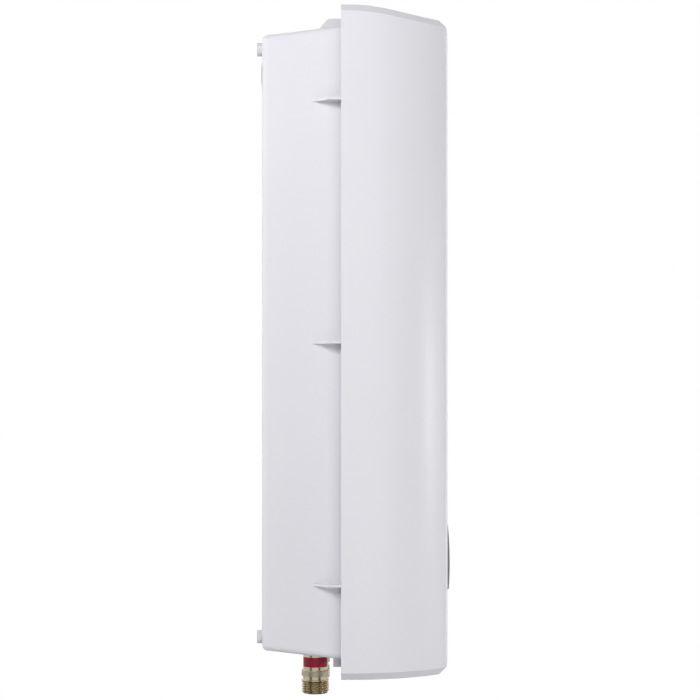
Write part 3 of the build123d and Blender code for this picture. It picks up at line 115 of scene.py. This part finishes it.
def math_node(tree, operation, *values):
    """Output of a new math node, fed by sockets and numbers."""
    made = tree.nodes.new("ShaderNodeMath")
    made.operation = operation
    for index, value in enumerate(values):
        if isinstance(value, bpy.types.NodeSocket):
            tree.links.new(value, made.inputs[index])
        else:
            made.inputs[index].default_value = value
    return made.outputs["Value"]


def range_node(tree, value, low, high, source_low, source_high, kind="LINEAR"):
    """Output of a new node that carries the source range over to low and high."""
    made = tree.nodes.new("ShaderNodeMapRange")
    made.interpolation_type = kind
    limits = {"From Min": source_low, "From Max": source_high, "To Min": low, "To Max": high}
    for key, number in limits.items():
        made.inputs[key].default_value = number
    tree.links.new(value, made.inputs["Value"])
    return made.outputs["Result"]


class Shader:
    """A node material under construction, with object coordinates in metres."""

    def __init__(self, name, **sockets):
        self.material = bpy.data.materials.new(name)
        self.material.use_nodes = True
        self.tree = self.material.node_tree
        self.bsdf = self.tree.nodes["Principled BSDF"]
        self.coords = self.tree.nodes.new("ShaderNodeTexCoord").outputs["Object"]
        for key, value in sockets.items():
            self.bsdf.inputs[key.replace("_", " ")].default_value = value

    def node(self, kind, **values):
        made = self.tree.nodes.new(kind)
        for key, value in values.items():
            if hasattr(made, key):
                setattr(made, key, value)
            else:
                made.inputs[key.replace("_", " ")].default_value = value
        return made

    def link(self, out, to):
        self.tree.links.new(out, to)

    def noise(self, scale, detail=3.0, roughness=0.5, stretch=None):
        made = self.node("ShaderNodeTexNoise", Scale=scale, Detail=detail, Roughness=roughness)
        source = self.coords
        if stretch:
            mapping = self.node("ShaderNodeMapping")
            mapping.inputs["Scale"].default_value = stretch
            self.link(source, mapping.inputs["Vector"])
            source = mapping.outputs["Vector"]
        self.link(source, made.inputs["Vector"])
        return made.outputs["Fac"]

    def remap(self, value, low, high, source_low=0.3, source_high=0.7):
        return range_node(self.tree, value, low, high, source_low, source_high)

    def math(self, operation, *values):
        return math_node(self.tree, operation, *values)

    def distance(self, centre, weights):
        """Distance of each point from a centre, along the weighted directions only."""
        away = self.node("ShaderNodeVectorMath", operation="SUBTRACT")
        away.inputs[1].default_value = centre
        flat = self.node("ShaderNodeVectorMath", operation="MULTIPLY")
        flat.inputs[1].default_value = weights
        length = self.node("ShaderNodeVectorMath", operation="LENGTH")
        self.link(self.coords, away.inputs[0])
        self.link(away.outputs["Vector"], flat.inputs[0])
        self.link(flat.outputs["Vector"], length.inputs[0])
        return length.outputs["Value"]

    def mix(self, factor, first, second):
        made = self.tree.nodes.new("ShaderNodeMix")
        made.data_type = "RGBA"
        for index, value in ((0, factor), (6, first), (7, second)):
            if isinstance(value, bpy.types.NodeSocket):
                self.link(value, made.inputs[index])
            elif index:
                made.inputs[index].default_value = (*value, 1.0)
            else:
                made.inputs[index].default_value = value
        return made.outputs[2]

    def colour(self, value):
        self.link(value, self.bsdf.inputs["Base Color"])

    def rough(self, value):
        self.link(value, self.bsdf.inputs["Roughness"])

    def bump(self, height, strength, distance):
        made = self.node("ShaderNodeBump", Strength=strength, Distance=distance)
        self.link(height, made.inputs["Height"])
        self.link(made.outputs["Normal"], self.bsdf.inputs["Normal"])


def moulded(name, colour, rough=0.42, grain=0.00002, variation=0.02, scale=1400.0, **sockets):
    """Moulded plastic or rubber: fine grain, faint tone drift, uneven gloss."""
    shader = Shader(name, **sockets)
    darker = tuple(c * (1 - variation) for c in colour)
    drift = shader.remap(shader.noise(9.0, 3.0), 0.0, 1.0, 0.1, 0.9)
    shader.colour(shader.mix(drift, darker, colour))
    shader.rough(shader.remap(shader.noise(45.0, 1.0), rough - 0.02, rough + 0.02, 0.1, 0.9))
    shader.bump(shader.noise(scale, 2.0), 0.35, grain)
    return shader.material


def metal(name, colour, rough=0.26, brush=(1.0, 1.0, 40.0), depth=0.000006, tarnish=0.10, **sockets):
    """Metal with tool marks along one direction, slight tarnish and uneven gloss."""
    shader = Shader(name, Metallic=1.0, **sockets)
    dull = tuple(c * (1 - tarnish) for c in colour)
    shader.colour(shader.mix(shader.remap(shader.noise(120.0, 5.0, 0.6), 0.0, 1.0), dull, colour))
    shader.rough(shader.remap(shader.noise(300.0, 3.0), rough - 0.05, rough + 0.08))
    shader.bump(shader.noise(250.0, 3.0, 0.6, brush), 0.4, depth)
    return shader.material


def circuit(name):
    """Lacquered circuit board: green mask with darker copper runs and pads under it."""
    shader = Shader(name, IOR=1.5)
    bricks = shader.node("ShaderNodeTexBrick", offset=0.37, squash=0.6, squash_frequency=3)
    layout = {"Scale": 170.0, "Mortar Size": 0.012, "Mortar Smooth": 0.2, "Bias": 0.0,
              "Brick Width": 0.9, "Row Height": 0.32}
    for key, value in layout.items():
        bricks.inputs[key].default_value = value
    mapping = shader.node("ShaderNodeMapping")
    mapping.inputs["Rotation"].default_value = (radians(90), 0, 0)
    shader.link(shader.coords, mapping.inputs["Vector"])
    shader.link(mapping.outputs["Vector"], bricks.inputs["Vector"])
    run = bricks.outputs["Fac"]
    drift = shader.remap(shader.noise(25.0), 0.0, 1.0)
    base = shader.mix(drift, (0.012, 0.10, 0.04), (0.018, 0.13, 0.055))
    shader.colour(shader.mix(run, base, (0.05, 0.26, 0.10)))
    shader.rough(shader.remap(shader.noise(400.0), 0.22, 0.34))
    shader.bump(run, 0.3, 0.00003)
    return shader.material


WHITE = (0.800, 0.793, 0.838)
case_plastic = moulded("case_plastic", WHITE, 0.36, IOR=1.46)
cover_plastic = moulded("cover_plastic", WHITE, 0.25, IOR=1.46)
pad_plastic = moulded("pad_plastic", (0.70, 0.695, 0.72), 0.5)
red_plastic = moulded("red_ring_plastic", (0.42, 0.018, 0.042), 0.34, variation=0.12)
blue_plastic = moulded("blue_ring_plastic", (0.02, 0.08, 0.34), 0.34, variation=0.12)
black_plastic = moulded("black_plastic", (0.012, 0.012, 0.014), 0.45, variation=0.3)
dark_grey = moulded("dark_grey_plastic", (0.045, 0.048, 0.054), 0.48, variation=0.2)
natural_plastic = moulded("natural_plastic", (0.62, 0.61, 0.56), 0.5, variation=0.06)
filled_plastic = moulded("filled_plastic", (0.46, 0.46, 0.43), 0.55, 0.00005, 0.12, 700.0)
terminal_plastic = moulded("terminal_plastic", (0.66, 0.64, 0.56), 0.42, variation=0.05)
button_plastic = moulded("button_plastic", (0.42, 0.02, 0.012), 0.36, variation=0.1)
connector_plastic = moulded("connector_plastic", (0.045, 0.20, 0.07), 0.42, variation=0.1)
grey_rubber = moulded("grey_rubber", (0.075, 0.078, 0.082), 0.72, 0.00004, 0.2)
black_rubber = moulded("black_rubber", (0.010, 0.010, 0.011), 0.7, 0.00004, 0.3)
brown_wire = moulded("brown_wire", (0.085, 0.030, 0.012), 0.4, variation=0.1)
black_wire = moulded("black_wire", (0.008, 0.008, 0.009), 0.4, variation=0.2)
film_plastic = moulded("film_capacitor_body", (0.55, 0.33, 0.10), 0.35, variation=0.15)


def turned_brass():
    """Pale turned brass of the nipples: bright neck, lighter and rougher collar, rougher thread whose
    darker colour is painted shade.
    """
    shader = Shader("pale_brass", Metallic=1.0)
    tarnish = shader.remap(shader.noise(120.0, 4.0, 0.6), 0.0, 1.0)
    height = shader.node("ShaderNodeSeparateXYZ")
    shader.link(shader.coords, height.inputs["Vector"])
    z = height.outputs["Z"]
    above = shader.remap(z, 0.0, 1.0, (COLLAR - 0.1) * MM, (COLLAR + 0.1) * MM)
    under = shader.remap(z, 1.0, 0.0, (COLLAR_TOP - 0.1) * MM, (COLLAR_TOP + 0.1) * MM)
    collar = shader.math("MULTIPLY", above, under)
    thread = shader.remap(z, 1.0, 0.0, (THREAD_TOP + 0.3) * MM, (THREAD_TOP + 0.5) * MM)
    clean = shader.mix(tarnish, (0.90, 0.78, 0.56), (0.95, 0.83, 0.61))
    satin = shader.mix(collar, clean, (1.0, 0.89, 0.66))
    # Painted shade: the thread is drawn in a darker, olive copy of the brass colour.
    shader.colour(shader.mix(thread, satin, (0.80, 0.68, 0.47)))
    shader.rough(shader.math("MULTIPLY_ADD", collar, 0.24, shader.remap(thread, 0.12, 0.20, 0.0, 1.0)))
    shader.bump(shader.noise(250.0, 2.0, 0.5, (1.0, 1.0, 60.0)), 0.2, 0.000003)
    return shader.material


brass = turned_brass()
yellow_brass = metal("yellow_brass", (0.80, 0.56, 0.24), 0.33)
copper = metal("drawn_copper", (0.86, 0.42, 0.26), 0.33, (1.0, 1.0, 0.05))
zinc_steel = metal("zinc_steel", (0.62, 0.63, 0.66), 0.33, (1.0, 1.0, 1.0), 0.00001)
blued_steel = metal("element_steel", (0.44, 0.40, 0.36), 0.34, (1.0, 1.0, 0.05), tarnish=0.35)
cast_aluminium = metal("extruded_aluminium", (0.72, 0.73, 0.75), 0.34, (60.0, 1.0, 1.0))
board_lacquer = circuit("board_lacquer")


def striped_wire():
    """Earth wire: green insulation with a yellow stripe."""
    shader = Shader("earth_wire_stripe", Roughness=0.4)
    wave = shader.node("ShaderNodeTexWave", Scale=60.0, Distortion=0.0)
    shader.link(shader.coords, wave.inputs["Vector"])
    stripe = shader.remap(wave.outputs["Fac"], 0.0, 1.0, 0.45, 0.55)
    shader.colour(shader.mix(stripe, (0.03, 0.22, 0.03), (0.72, 0.58, 0.02)))
    shader.bump(shader.noise(900.0), 0.2, 0.00002)
    return shader.material


def ribbed_ribbon():
    """Flat cable: grey cores side by side with a red edge core, and painted shade darkening the grooves
    between the cores.
    """
    shader = Shader("ribbon_insulation", Roughness=0.42)
    split = shader.node("ShaderNodeSeparateXYZ")
    shader.link(shader.coords, split.inputs["Vector"])
    core_pitch = 1.27 * MM
    ridge = shader.math("COSINE", shader.math("MULTIPLY", split.outputs["X"], 2 * pi / core_pitch))
    # Painted shade: the grey turns dark in the grooves between the cores.
    painted_groove_shade = shader.remap(ridge, 0.0, 1.0, -1.0, -0.2)
    grey = shader.mix(painted_groove_shade, (0.16, 0.165, 0.18), (0.42, 0.43, 0.46))
    edge = shader.remap(split.outputs["X"], 1.0, 0.0, -0.00483, -0.00480)
    shader.colour(shader.mix(edge, grey, (0.40, 0.03, 0.03)))
    shader.bump(ridge, 0.6, 0.0001)
    return shader.material


def smoked_lens():
    """Smoked glossy lens, nearly black, with a grey edge."""
    shader = Shader("smoked_lens", IOR=1.5)
    tone = shader.remap(shader.noise(30.0), 0.0, 1.0)
    face = shader.mix(tone, (0.004, 0.004, 0.005), (0.007, 0.007, 0.008))
    low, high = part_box("display_lens")
    middle = ((low.x + high.x) / 2, 0, (low.z + high.z) / 2)
    edge = (high.x - low.x) / 2
    rim = shader.remap(shader.distance(middle, (1, 0, 1)), 0.0, 1.0, edge - 0.9 * MM, edge - 0.6 * MM)
    shader.colour(shader.mix(rim, face, (0.26, 0.26, 0.27)))
    shader.rough(shader.remap(shader.noise(500.0, 4.0), 0.06, 0.11))
    return shader.material


def display_face():
    """Liquid crystal display behind the lens: dark glass with a finer grid."""
    shader = Shader("display_face", IOR=1.5, Roughness=0.12)
    checker = shader.node("ShaderNodeTexChecker", Scale=2200.0)
    shader.link(shader.coords, checker.inputs["Vector"])
    shader.colour(shader.mix(checker.outputs["Fac"], (0.020, 0.030, 0.032), (0.026, 0.038, 0.040)))
    return shader.material


def wrapped_tape():
    """Transformer wrapped in yellow tape over a dark core."""
    shader = Shader("transformer_tape", Roughness=0.35)
    split = shader.node("ShaderNodeSeparateXYZ")
    shader.link(shader.coords, split.inputs["Vector"])
    bottom, top = TAPE_EDGES
    inside = shader.remap(split.outputs["Z"], 0.0, 1.0, bottom * MM, (bottom + 0.3) * MM)
    above = shader.remap(split.outputs["Z"], 1.0, 0.0, (top - 0.3) * MM, top * MM)
    tape = shader.math("MULTIPLY", inside, above)
    shader.colour(shader.mix(tape, (0.02, 0.02, 0.022), (0.62, 0.42, 0.03)))
    shader.bump(shader.noise(500.0, 2.0, 0.5, (1.0, 1.0, 8.0)), 0.4, 0.00006)
    return shader.material


FINISH = {
    "rear_case": case_plastic,
    "front_cover": cover_plastic,
    "wall_pads": pad_plastic,
    "cover_screws": zinc_steel,
    "cover_screw_nuts": zinc_steel,
    "hot_nipple": brass,
    "cold_nipple": brass,
    "hot_ring": red_plastic,
    "cold_ring": blue_plastic,
    "nipple_sleeves": grey_rubber,
    "nipple_bracket": zinc_steel,
    "nipple_nuts": yellow_brass,
    "union_nuts": yellow_brass,
    "union_washers": black_rubber,
    "outlet_pipe": copper,
    "inlet_pipe": copper,
    "heating_block": filled_plastic,
    "block_cap_seal": black_rubber,
    "block_cap": zinc_steel,
    "block_cap_screws": zinc_steel,
    "heating_elements": blued_steel,
    "element_nuts": yellow_brass,
    "star_bridge": copper,
    "power_board": board_lacquer,
    "board_spacers": zinc_steel,
    "small_screws": zinc_steel,
    "safety_relay": black_plastic,
    "board_transformer": wrapped_tape(),
    "capacitors": moulded("capacitor_sleeve", (0.012, 0.020, 0.075), 0.3, variation=0.2),
    "board_connectors": connector_plastic,
    "ribbon_cable": ribbed_ribbon(),
    "cooling_plate": cast_aluminium,
    "triacs": black_plastic,
    "thermal_cutout": black_plastic,
    "cutout_reset_button": button_plastic,
    "pressure_limiter": yellow_brass,
    "limiter_reset_button": button_plastic,
    "temperature_sensors": yellow_brass,
    "inlet_filter": natural_plastic,
    "shutoff_valve_body": yellow_brass,
    "shutoff_ball": zinc_steel,
    "shutoff_spindle": yellow_brass,
    "flow_sensor_body": dark_grey,
    "turbine_bearings": natural_plastic,
    "turbine_rotor": natural_plastic,
    "rotor_shaft": zinc_steel,
    "flow_pickup": black_plastic,
    "display_lens": smoked_lens(),
    "control_housing": dark_grey,
    "control_column": filled_plastic,
    "display_board": board_lacquer,
    "display_module": display_face(),
    "terminal_block": terminal_plastic,
    "terminal_screws": yellow_brass,
    "base_screws": zinc_steel,
    "cable_grommet": black_rubber,
    "cable_clamp": dark_grey,
    "phase_wires": brown_wire,
    "earth_wire": striped_wire(),
    "element_wires": black_wire,
}

for name, node in nodes.items():
    for slot in node.material_slots:
        slot.material = FINISH[name]


def case_piece(data, material, sharp_angle):
    """An object of this mesh, shaded smooth, that rides on the case."""
    data.polygons.foreach_set("use_smooth", [True] * len(data.polygons))
    data.set_sharp_from_angle(angle=radians(sharp_angle))
    data.materials.append(material)
    made = bpy.data.objects.new(data.name, data)
    scene.collection.objects.link(made)
    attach(made, "case")
    return made


# Water nipples: turned body with a true helical thread


def thread_radius(z, angle):
    """Radius of the right-hand thread at a height, with its lead-in and run-out."""
    phase = ((z - END) / PITCH - angle / (2 * pi)) % 1.0
    ridge = (0.5 - abs(phase - 0.5)) * 2.0
    rise = min(1.0, max(0.0, ridge * FLANK_SLOPE - ROOT_FLAT))
    lead = ROOT - LEAD_DROP + (z - END) / LEAD_SLOPE
    return min(ROOT + (CREST - ROOT) * rise, lead)


def hexagon_radius(angle):
    """Radius of the spanner hexagon with its corners turned off."""
    local = (angle + pi / 6) % (pi / 3) - pi / 6
    return min(ACROSS_FLATS / 2 / cos(local), HEXAGON_CORNER)


def lathe_rows():
    """Rows of the nipple, up the outside and down the bore: height and radius or radius function."""
    rows = [(END, BORE + CHAMFER), (END, ROOT - 0.75)]
    for n in range(THREAD_STEPS + 1):
        z = END + 0.02 + (THREAD_TOP - END - 0.02) * n / THREAD_STEPS
        rows.append((z, thread_radius))
    rows += [
        (THREAD_TOP + 0.10, ROOT),
        (THREAD_TOP + 0.55, CREST - 0.10),
        (THREAD_TOP + 0.70, CREST),
        (FLANGE_TOP, CREST),
        (FLANGE_TOP + 0.12, CREST - 0.12),
        (FLANGE_TOP + 0.15, 9.50),
        (FLANGE_TOP + 0.30, NECK),
        (COLLAR - 0.20, NECK),
        (COLLAR - 0.03, 9.50),
        (COLLAR, CREST - 0.14),
        (COLLAR + 0.14, CREST),
        (COLLAR_TOP - 0.16, CREST),
        (COLLAR_TOP - 0.02, CREST - 0.14),
        (COLLAR_TOP, 9.55),
        (COLLAR_TOP + 0.20, NECK),
        (NECK_TOP - 0.12, NECK),
        (NECK_TOP, SHOULDER),
        (NECK_TOP, RING_SEAT),
        (RING_TOP, RING_SEAT),
        (RING_TOP, SHOULDER),
        (RING_TOP + 0.12, 9.35),
        (HEXAGON, 9.35),
        (HEXAGON, hexagon_radius),
        (HEXAGON_TOP, hexagon_radius),
        (HEXAGON_TOP, UPPER),
        (UPPER_END - CHAMFER, UPPER),
        (UPPER_END, UPPER - CHAMFER),
        (UPPER_END, BORE + CHAMFER),
        (UPPER_END - CHAMFER, BORE),
        (END + CHAMFER, BORE),
    ]
    return rows


def nipple(name, side):
    """One nipple as a closed ring of rows."""
    rows = lathe_rows()
    vertices = []
    for z, radius in rows:
        for n in range(SEGMENTS):
            angle = 2 * pi * n / SEGMENTS
            if radius is thread_radius:
                r = thread_radius(z, angle)
            elif callable(radius):
                r = radius(angle)
            else:
                r = radius
            x = side * NIPPLE_X + r * cos(angle)
            y = -NIPPLE_DEPTH + r * sin(angle)
            vertices.append((x * MM, y * MM, z * MM))
    faces = []
    count = len(rows)
    for row in range(count):
        above = (row + 1) % count
        for n in range(SEGMENTS):
            m = (n + 1) % SEGMENTS
            corners = ((row, n), (row, m), (above, m), (above, n))
            faces.append([level * SEGMENTS + place for level, place in corners])
    data = bpy.data.meshes.new(name + "_turned")
    data.from_pydata(vertices, [], faces)
    made = case_piece(data, brass, 32)
    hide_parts(name)


nipple("hot_nipple", -1)
nipple("cold_nipple", 1)


# Small parts on the inner assemblies, laid out in millimetres: x, depth from the wall, z


class Kit:
    """Bevelled blocks and pegs gathered into one piece."""

    def __init__(self):
        self.mesh = bmesh.new()

    def soften(self, edges, bevel):
        """Round the given edges."""
        bmesh.ops.bevel(self.mesh, geom=edges, offset=bevel * MM, segments=2, profile=0.5, affect="EDGES")

    def block(self, x, depth, z, bevel):
        """A box between its low and high x, depth and z, with rounded edges."""
        middle = Vector(((x[0] + x[1]) / 2, -(depth[0] + depth[1]) / 2, (z[0] + z[1]) / 2)) * MM
        size = Vector((x[1] - x[0], depth[1] - depth[0], z[1] - z[0])) * MM
        corners = bmesh.ops.create_cube(self.mesh, size=1.0)["verts"]
        for corner in corners:
            corner.co = Vector(a * b for a, b in zip(corner.co, size)) + middle
        self.soften(list(dict.fromkeys(edge for corner in corners for edge in corner.link_edges)), bevel)

    def peg(self, start, length, radius, axis, bevel, sides):
        """A round peg from its start along x or depth, with rounded rims."""
        way = {"x": Vector((1, 0, 0)), "depth": Vector((0, -1, 0))}[axis]
        x, depth, z = start
        middle = Vector((x, -depth, z)) * MM + way * (length * MM / 2)
        place = Matrix.Translation(middle) @ way.to_track_quat("Z", "X").to_matrix().to_4x4()
        corners = bmesh.ops.create_cone(
            self.mesh, cap_ends=True, segments=sides, radius1=radius * MM, radius2=radius * MM,
            depth=length * MM, matrix=place)["verts"]
        edges = dict.fromkeys(edge for corner in corners for edge in corner.link_edges)
        rims = [edge for edge in edges if any(len(face.verts) > 4 for face in edge.link_faces)]
        self.soften(rims, bevel)

    def done(self, name, material):
        """Turn what was gathered into the piece."""
        data = bpy.data.meshes.new(name)
        self.mesh.to_mesh(data)
        self.mesh.free()
        made = case_piece(data, material, 40)


def block_ribs():
    """Stiffening ribs moulded on the front of the heating block."""
    kit = Kit()
    thickness = 1.8
    upright = (-70.0, -14.0, 12.0, 66.4)
    across = (-55.5, -4.0, 52.0, 112.0, 155.7)
    for x in upright:
        length = (across[0], across[-1] + thickness)
        kit.block((x, x + thickness), (BLOCK_FACE - 0.4, BLOCK_FACE + 2.2), length, 0.4)
    for z in across:
        length = (upright[0], upright[-1] + thickness)
        kit.block(length, (BLOCK_FACE - 0.4, BLOCK_FACE + 1.6), (z, z + thickness), 0.4)
    kit.done("block_ribs", filled_plastic)


# Chips: left x, low z, width, height, thickness, and whether it has legs
CHIPS = (
    (-14, 8, 7, 10, 2.2, True),
    (6, 14, 6, 6, 1.6, False),
    (-13, 98, 9, 6, 2.2, True),
    (4, 104, 5, 4, 1.4, False),
    (33, 58, 8, 7, 1.8, True),
    (45, 44, 5, 6, 1.6, False),
)
# Resistors: left x and z
RESISTORS = (
    (-16.0, 28.0),
    (-16.0, 32.5),
    (14.0, 44.0),
    (14.0, 48.5),
    (14.0, 53.0),
    (-16.0, 88.0),
    (2.0, 92.0),
)
# Film capacitors: x, height over the board and z
FILM_CAPACITORS = (
    ((-17.0, -11.0), 10.0, (62.0, 76.0)),
    ((34.0, 46.0), 9.0, (-20.0, -14.5)),
    ((34.0, 46.0), 9.0, (-30.0, -24.5)),
)


def black_parts():
    """Relay lid with its vent ribs, transformer cheeks, chips and triac faces."""
    kit = Kit()
    kit.block((26.2, 53.8), (RELAY_FACE - 0.2, RELAY_FACE + 0.6), (86.2, 113.8), 0.4)
    kit.peg((30.0, RELAY_FACE + 0.3, 109.5), 0.7, 1.3, "depth", 0.15, 28)
    for n in range(5):
        left = 34.0 + 3.2 * n
        kit.block((left, left + 1.2), (RELAY_FACE + 0.4, RELAY_FACE + 1.0), (90.0, 104.0), 0.2)
    for depth in ((BOARD_FACE, BOARD_FACE + 2.5), (BOARD_FACE + 17.5, BOARD_FACE + 18.9)):
        kit.block(TRANSFORMER_X, depth, TRANSFORMER_Z, 0.4)
    for x, z, width, height, thickness, _ in CHIPS:
        face = BOARD_FACE + 0.3 + thickness
        kit.block((x, x + width), (BOARD_FACE + 0.3, face), (z, z + height), 0.3)
        kit.peg((x + 1.2, face - 0.1, z + height - 1.2), 0.2, 0.5, "depth", 0.05, 12)
    for x in TRIAC_X:
        kit.block((x - 4.9, x + 4.9), (TRIAC_FACE - 0.2, TRIAC_FACE + 0.3), (-88.2, -80.6), 0.2)
    kit.done("chips_and_covers", black_plastic)


def steel_parts():
    """Chip legs, capacitor ends, crystal, transformer pins and triac tabs."""
    kit = Kit()
    pitch = 1.27
    for x, z, width, height, _, legs in CHIPS:
        for n in range(int(height / pitch) - 1 if legs else 0):
            level = z + 1.1 + pitch * n
            for left in (x - 1.1, x + width - 0.1):
                kit.block((left, left + 1.2), (BOARD_FACE, BOARD_FACE + 0.5), (level, level + 0.5), 0.08)
    for z in CAPACITOR_Z:
        kit.peg((CAPACITOR_X, CAPACITOR_FACE - 0.4, z), 0.6, 5.2, "depth", 0.25, 28)
    kit.block((10.0, 20.0), (BOARD_FACE, BOARD_FACE + 3.4), (66.0, 70.4), 1.2)
    for n in range(5):
        for z in (-1.4, 28.4):
            kit.peg((26.0 + 6.0 * n, BOARD_FACE - 0.2, z), 1.6, 0.55, "depth", 0.1, 12)
    for x in TRIAC_X:
        kit.block((x - 5.0, x + 5.0), (TAB_FACE, TAB_FACE + 1.3), (-94.4, -88.6), 0.15)
    kit.done("pins_and_heads", zinc_steel)


def film_parts():
    """Resistors and film capacitors on the power board."""
    kit = Kit()
    for x, z in RESISTORS:
        kit.peg((x, BOARD_FACE + 1.6, z), 7.0, 1.2, "x", 0.4, 20)
        for end in (x + 0.2, x + 5.2):
            kit.peg((end, BOARD_FACE + 1.6, z), 1.6, 1.45, "x", 0.5, 20)
    for x, height, z in FILM_CAPACITORS:
        kit.block(x, (BOARD_FACE, BOARD_FACE + height), z, 0.8)
    kit.done("board_film_parts", film_plastic)


def terminal_ribs():
    """Partitions between the poles of the terminal block."""
    kit = Kit()
    pole_width = 14.0
    for n in range(5):
        x = 4.4 + pole_width * n
        kit.block((x, x + 1.2), (34.0, 37.2), (198.5, 215.5), 0.3)
    kit.done("terminal_partitions", terminal_plastic)


block_ribs()
black_parts()
steel_parts()
film_parts()
terminal_ribs()


# Floor, light and background

FLOOR_HEIGHT = -1.1
FLOOR_HALF = 4.0
# The floor's own light grows with the distance from the heater: strengths, and their metres
GLOW = (0.2, 1.2)
GLOW_REACH = (0.05, 1.0)
# World: a soft band of light below the horizon, two dark gaps beside the camera for gloss
BAND_DROP = radians(9)
BAND_WIDTH = radians(20)
BAND_LEVEL = 0.05
BASE_LEVEL = 0.03
GAP_BEARING = radians(39)
GAP_WIDTH = radians(6.5)
GAP_DEPTH = 0.8
GLOSS_LEVEL = 0.55
GLOSS_BEHIND = 0.8
GLOSS_BELOW = 0.2
# Points on and in the heater that the lamps aim at, in metres
SIDE = (-0.1, -0.07, 0.0)
CENTRE = (0.0, -0.07, 0.0)
# Lamps: name, place, aim, width and height in metres, power in watts, and whether gloss shows it
LAMPS = (
    ("near_key", (-0.90, 0.50, 0.55), (-0.1, -0.06, 0.0), (0.50, 0.45), 8.8, False),
    ("camera_soft", (-1.79, -0.69, 0.0), SIDE, (1.2, 1.0), 7.3, False),
    ("low_fill", (-1.3, -0.07, -1.0), SIDE, (0.7, 0.7), 4.4, False),
    ("front_soft", (-0.45, -1.73, -0.15), SIDE, (0.6, 0.7), 6.5, False),
    ("front_window", (-0.546, -1.50, -0.04), SIDE, (0.30, 0.24), 1.1, True),
    ("front_top", (0.21, -1.23, 1.2), SIDE, (0.7, 0.7), 5.0, False),
    ("right_soft", (1.55, -1.90, 0.2), CENTRE, (1.2, 1.6), 26.0, False),
    ("rear_right", (1.6, 2.0, 0.4), CENTRE, (1.4, 1.8), 16.0, False),
    ("rear_soft", (0.4, 2.2, 0.3), CENTRE, (1.2, 1.4), 12.0, False),
)


def stage_floor(material):
    half = FLOOR_HALF
    data = bpy.data.meshes.new("floor")
    corners = [(-half, -half, 0), (half, -half, 0), (half, half, 0), (-half, half, 0)]
    data.from_pydata(corners, [], [(0, 1, 2, 3)])
    data.materials.append(material)
    made = bpy.data.objects.new("floor", data)
    made.matrix_world = Matrix.Translation((0, 0, FLOOR_HEIGHT))
    scene.collection.objects.link(made)


def floor_material():
    """Pale floor that turns white to the camera away from the object, and looks darker in gloss."""
    shader = Shader("floor_paper", Roughness=0.9)
    tone = shader.remap(shader.noise(3.0), 0.0, 1.0)
    paper = shader.mix(tone, (0.80, 0.80, 0.80), (0.82, 0.82, 0.82))
    reflected = shader.node("ShaderNodeLightPath").outputs["Is Glossy Ray"]
    shader.colour(shader.mix(reflected, paper, (0.12, 0.11, 0.10)))
    far = shader.remap(shader.distance((0, 0, 0), (1, 1, 0)), *GLOW, *GLOW_REACH)
    seen = shader.node("ShaderNodeLightPath").outputs["Is Camera Ray"]
    shader.bsdf.inputs["Emission Color"].default_value = (1, 1, 1, 1)
    shader.link(shader.math("MULTIPLY", far, seen), shader.bsdf.inputs["Emission Strength"])
    return shader.material


def area_light(name, location, target, size, power, reflected):
    data = bpy.data.lights.new(name, "AREA")
    data.shape = "RECTANGLE"
    data.size, data.size_y = size
    data.energy = power
    made = bpy.data.objects.new(name, data)
    made.location = location
    made.rotation_euler = (Vector(target) - Vector(location)).to_track_quat("-Z", "Y").to_euler()
    made.visible_glossy = reflected
    scene.collection.objects.link(made)


def studio_world():
    """White studio: a soft band of light round the horizon, white to the camera."""
    world = bpy.data.worlds.new("studio")
    scene.world = world
    world.use_nodes = True
    tree = world.node_tree
    background = tree.nodes["Background"]
    background.inputs["Color"].default_value = (1, 1, 1, 1)

    def math(operation, *values):
        return math_node(tree, operation, *values)

    def between(share, off, on):
        return math("ADD", math("MULTIPLY", share, on), math("MULTIPLY", math("SUBTRACT", 1.0, share), off))

    def bell(value, middle, width):
        away = math("DIVIDE", math("SUBTRACT", value, middle), width)
        return math("EXPONENT", math("MULTIPLY", math("MULTIPLY", away, away), -0.5))

    path_info = tree.nodes.new("ShaderNodeLightPath")
    coords = tree.nodes.new("ShaderNodeTexCoord")
    split = tree.nodes.new("ShaderNodeSeparateXYZ")
    tree.links.new(coords.outputs["Generated"], split.inputs["Vector"])
    rise = math("ARCSINE", split.outputs["Z"])
    soft = math("MULTIPLY_ADD", bell(rise, -BAND_DROP, BAND_WIDTH), BAND_LEVEL, BASE_LEVEL)
    # Seen only in reflections: two dark gaps beside the camera and a darker ground
    minus_x = math("MULTIPLY", split.outputs["X"], -1.0)
    bearing = math("ABSOLUTE", math("ARCTAN2", split.outputs["Y"], minus_x))
    dark = bell(bearing, GAP_BEARING, GAP_WIDTH)
    behind = range_node(tree, bearing, GLOSS_LEVEL, GLOSS_BEHIND, radians(100), radians(165), "SMOOTHSTEP")
    below = range_node(tree, split.outputs["Z"], GLOSS_BELOW, 1.0, -0.75, -0.1, "SMOOTHSTEP")
    gloss = math("MULTIPLY", math("MULTIPLY_ADD", dark, -GAP_DEPTH, 1.0), behind)
    gloss = math("MULTIPLY", gloss, below)
    shiny = math("MAXIMUM", path_info.outputs["Is Glossy Ray"], path_info.outputs["Is Transmission Ray"])
    level = between(path_info.outputs["Is Camera Ray"], between(shiny, soft, gloss), 1.0)
    tree.links.new(level, background.inputs["Strength"])


stage_floor(floor_material())
studio_world()
for lamp in LAMPS:
    area_light(*lamp)

scene.view_settings.view_transform = "Standard"
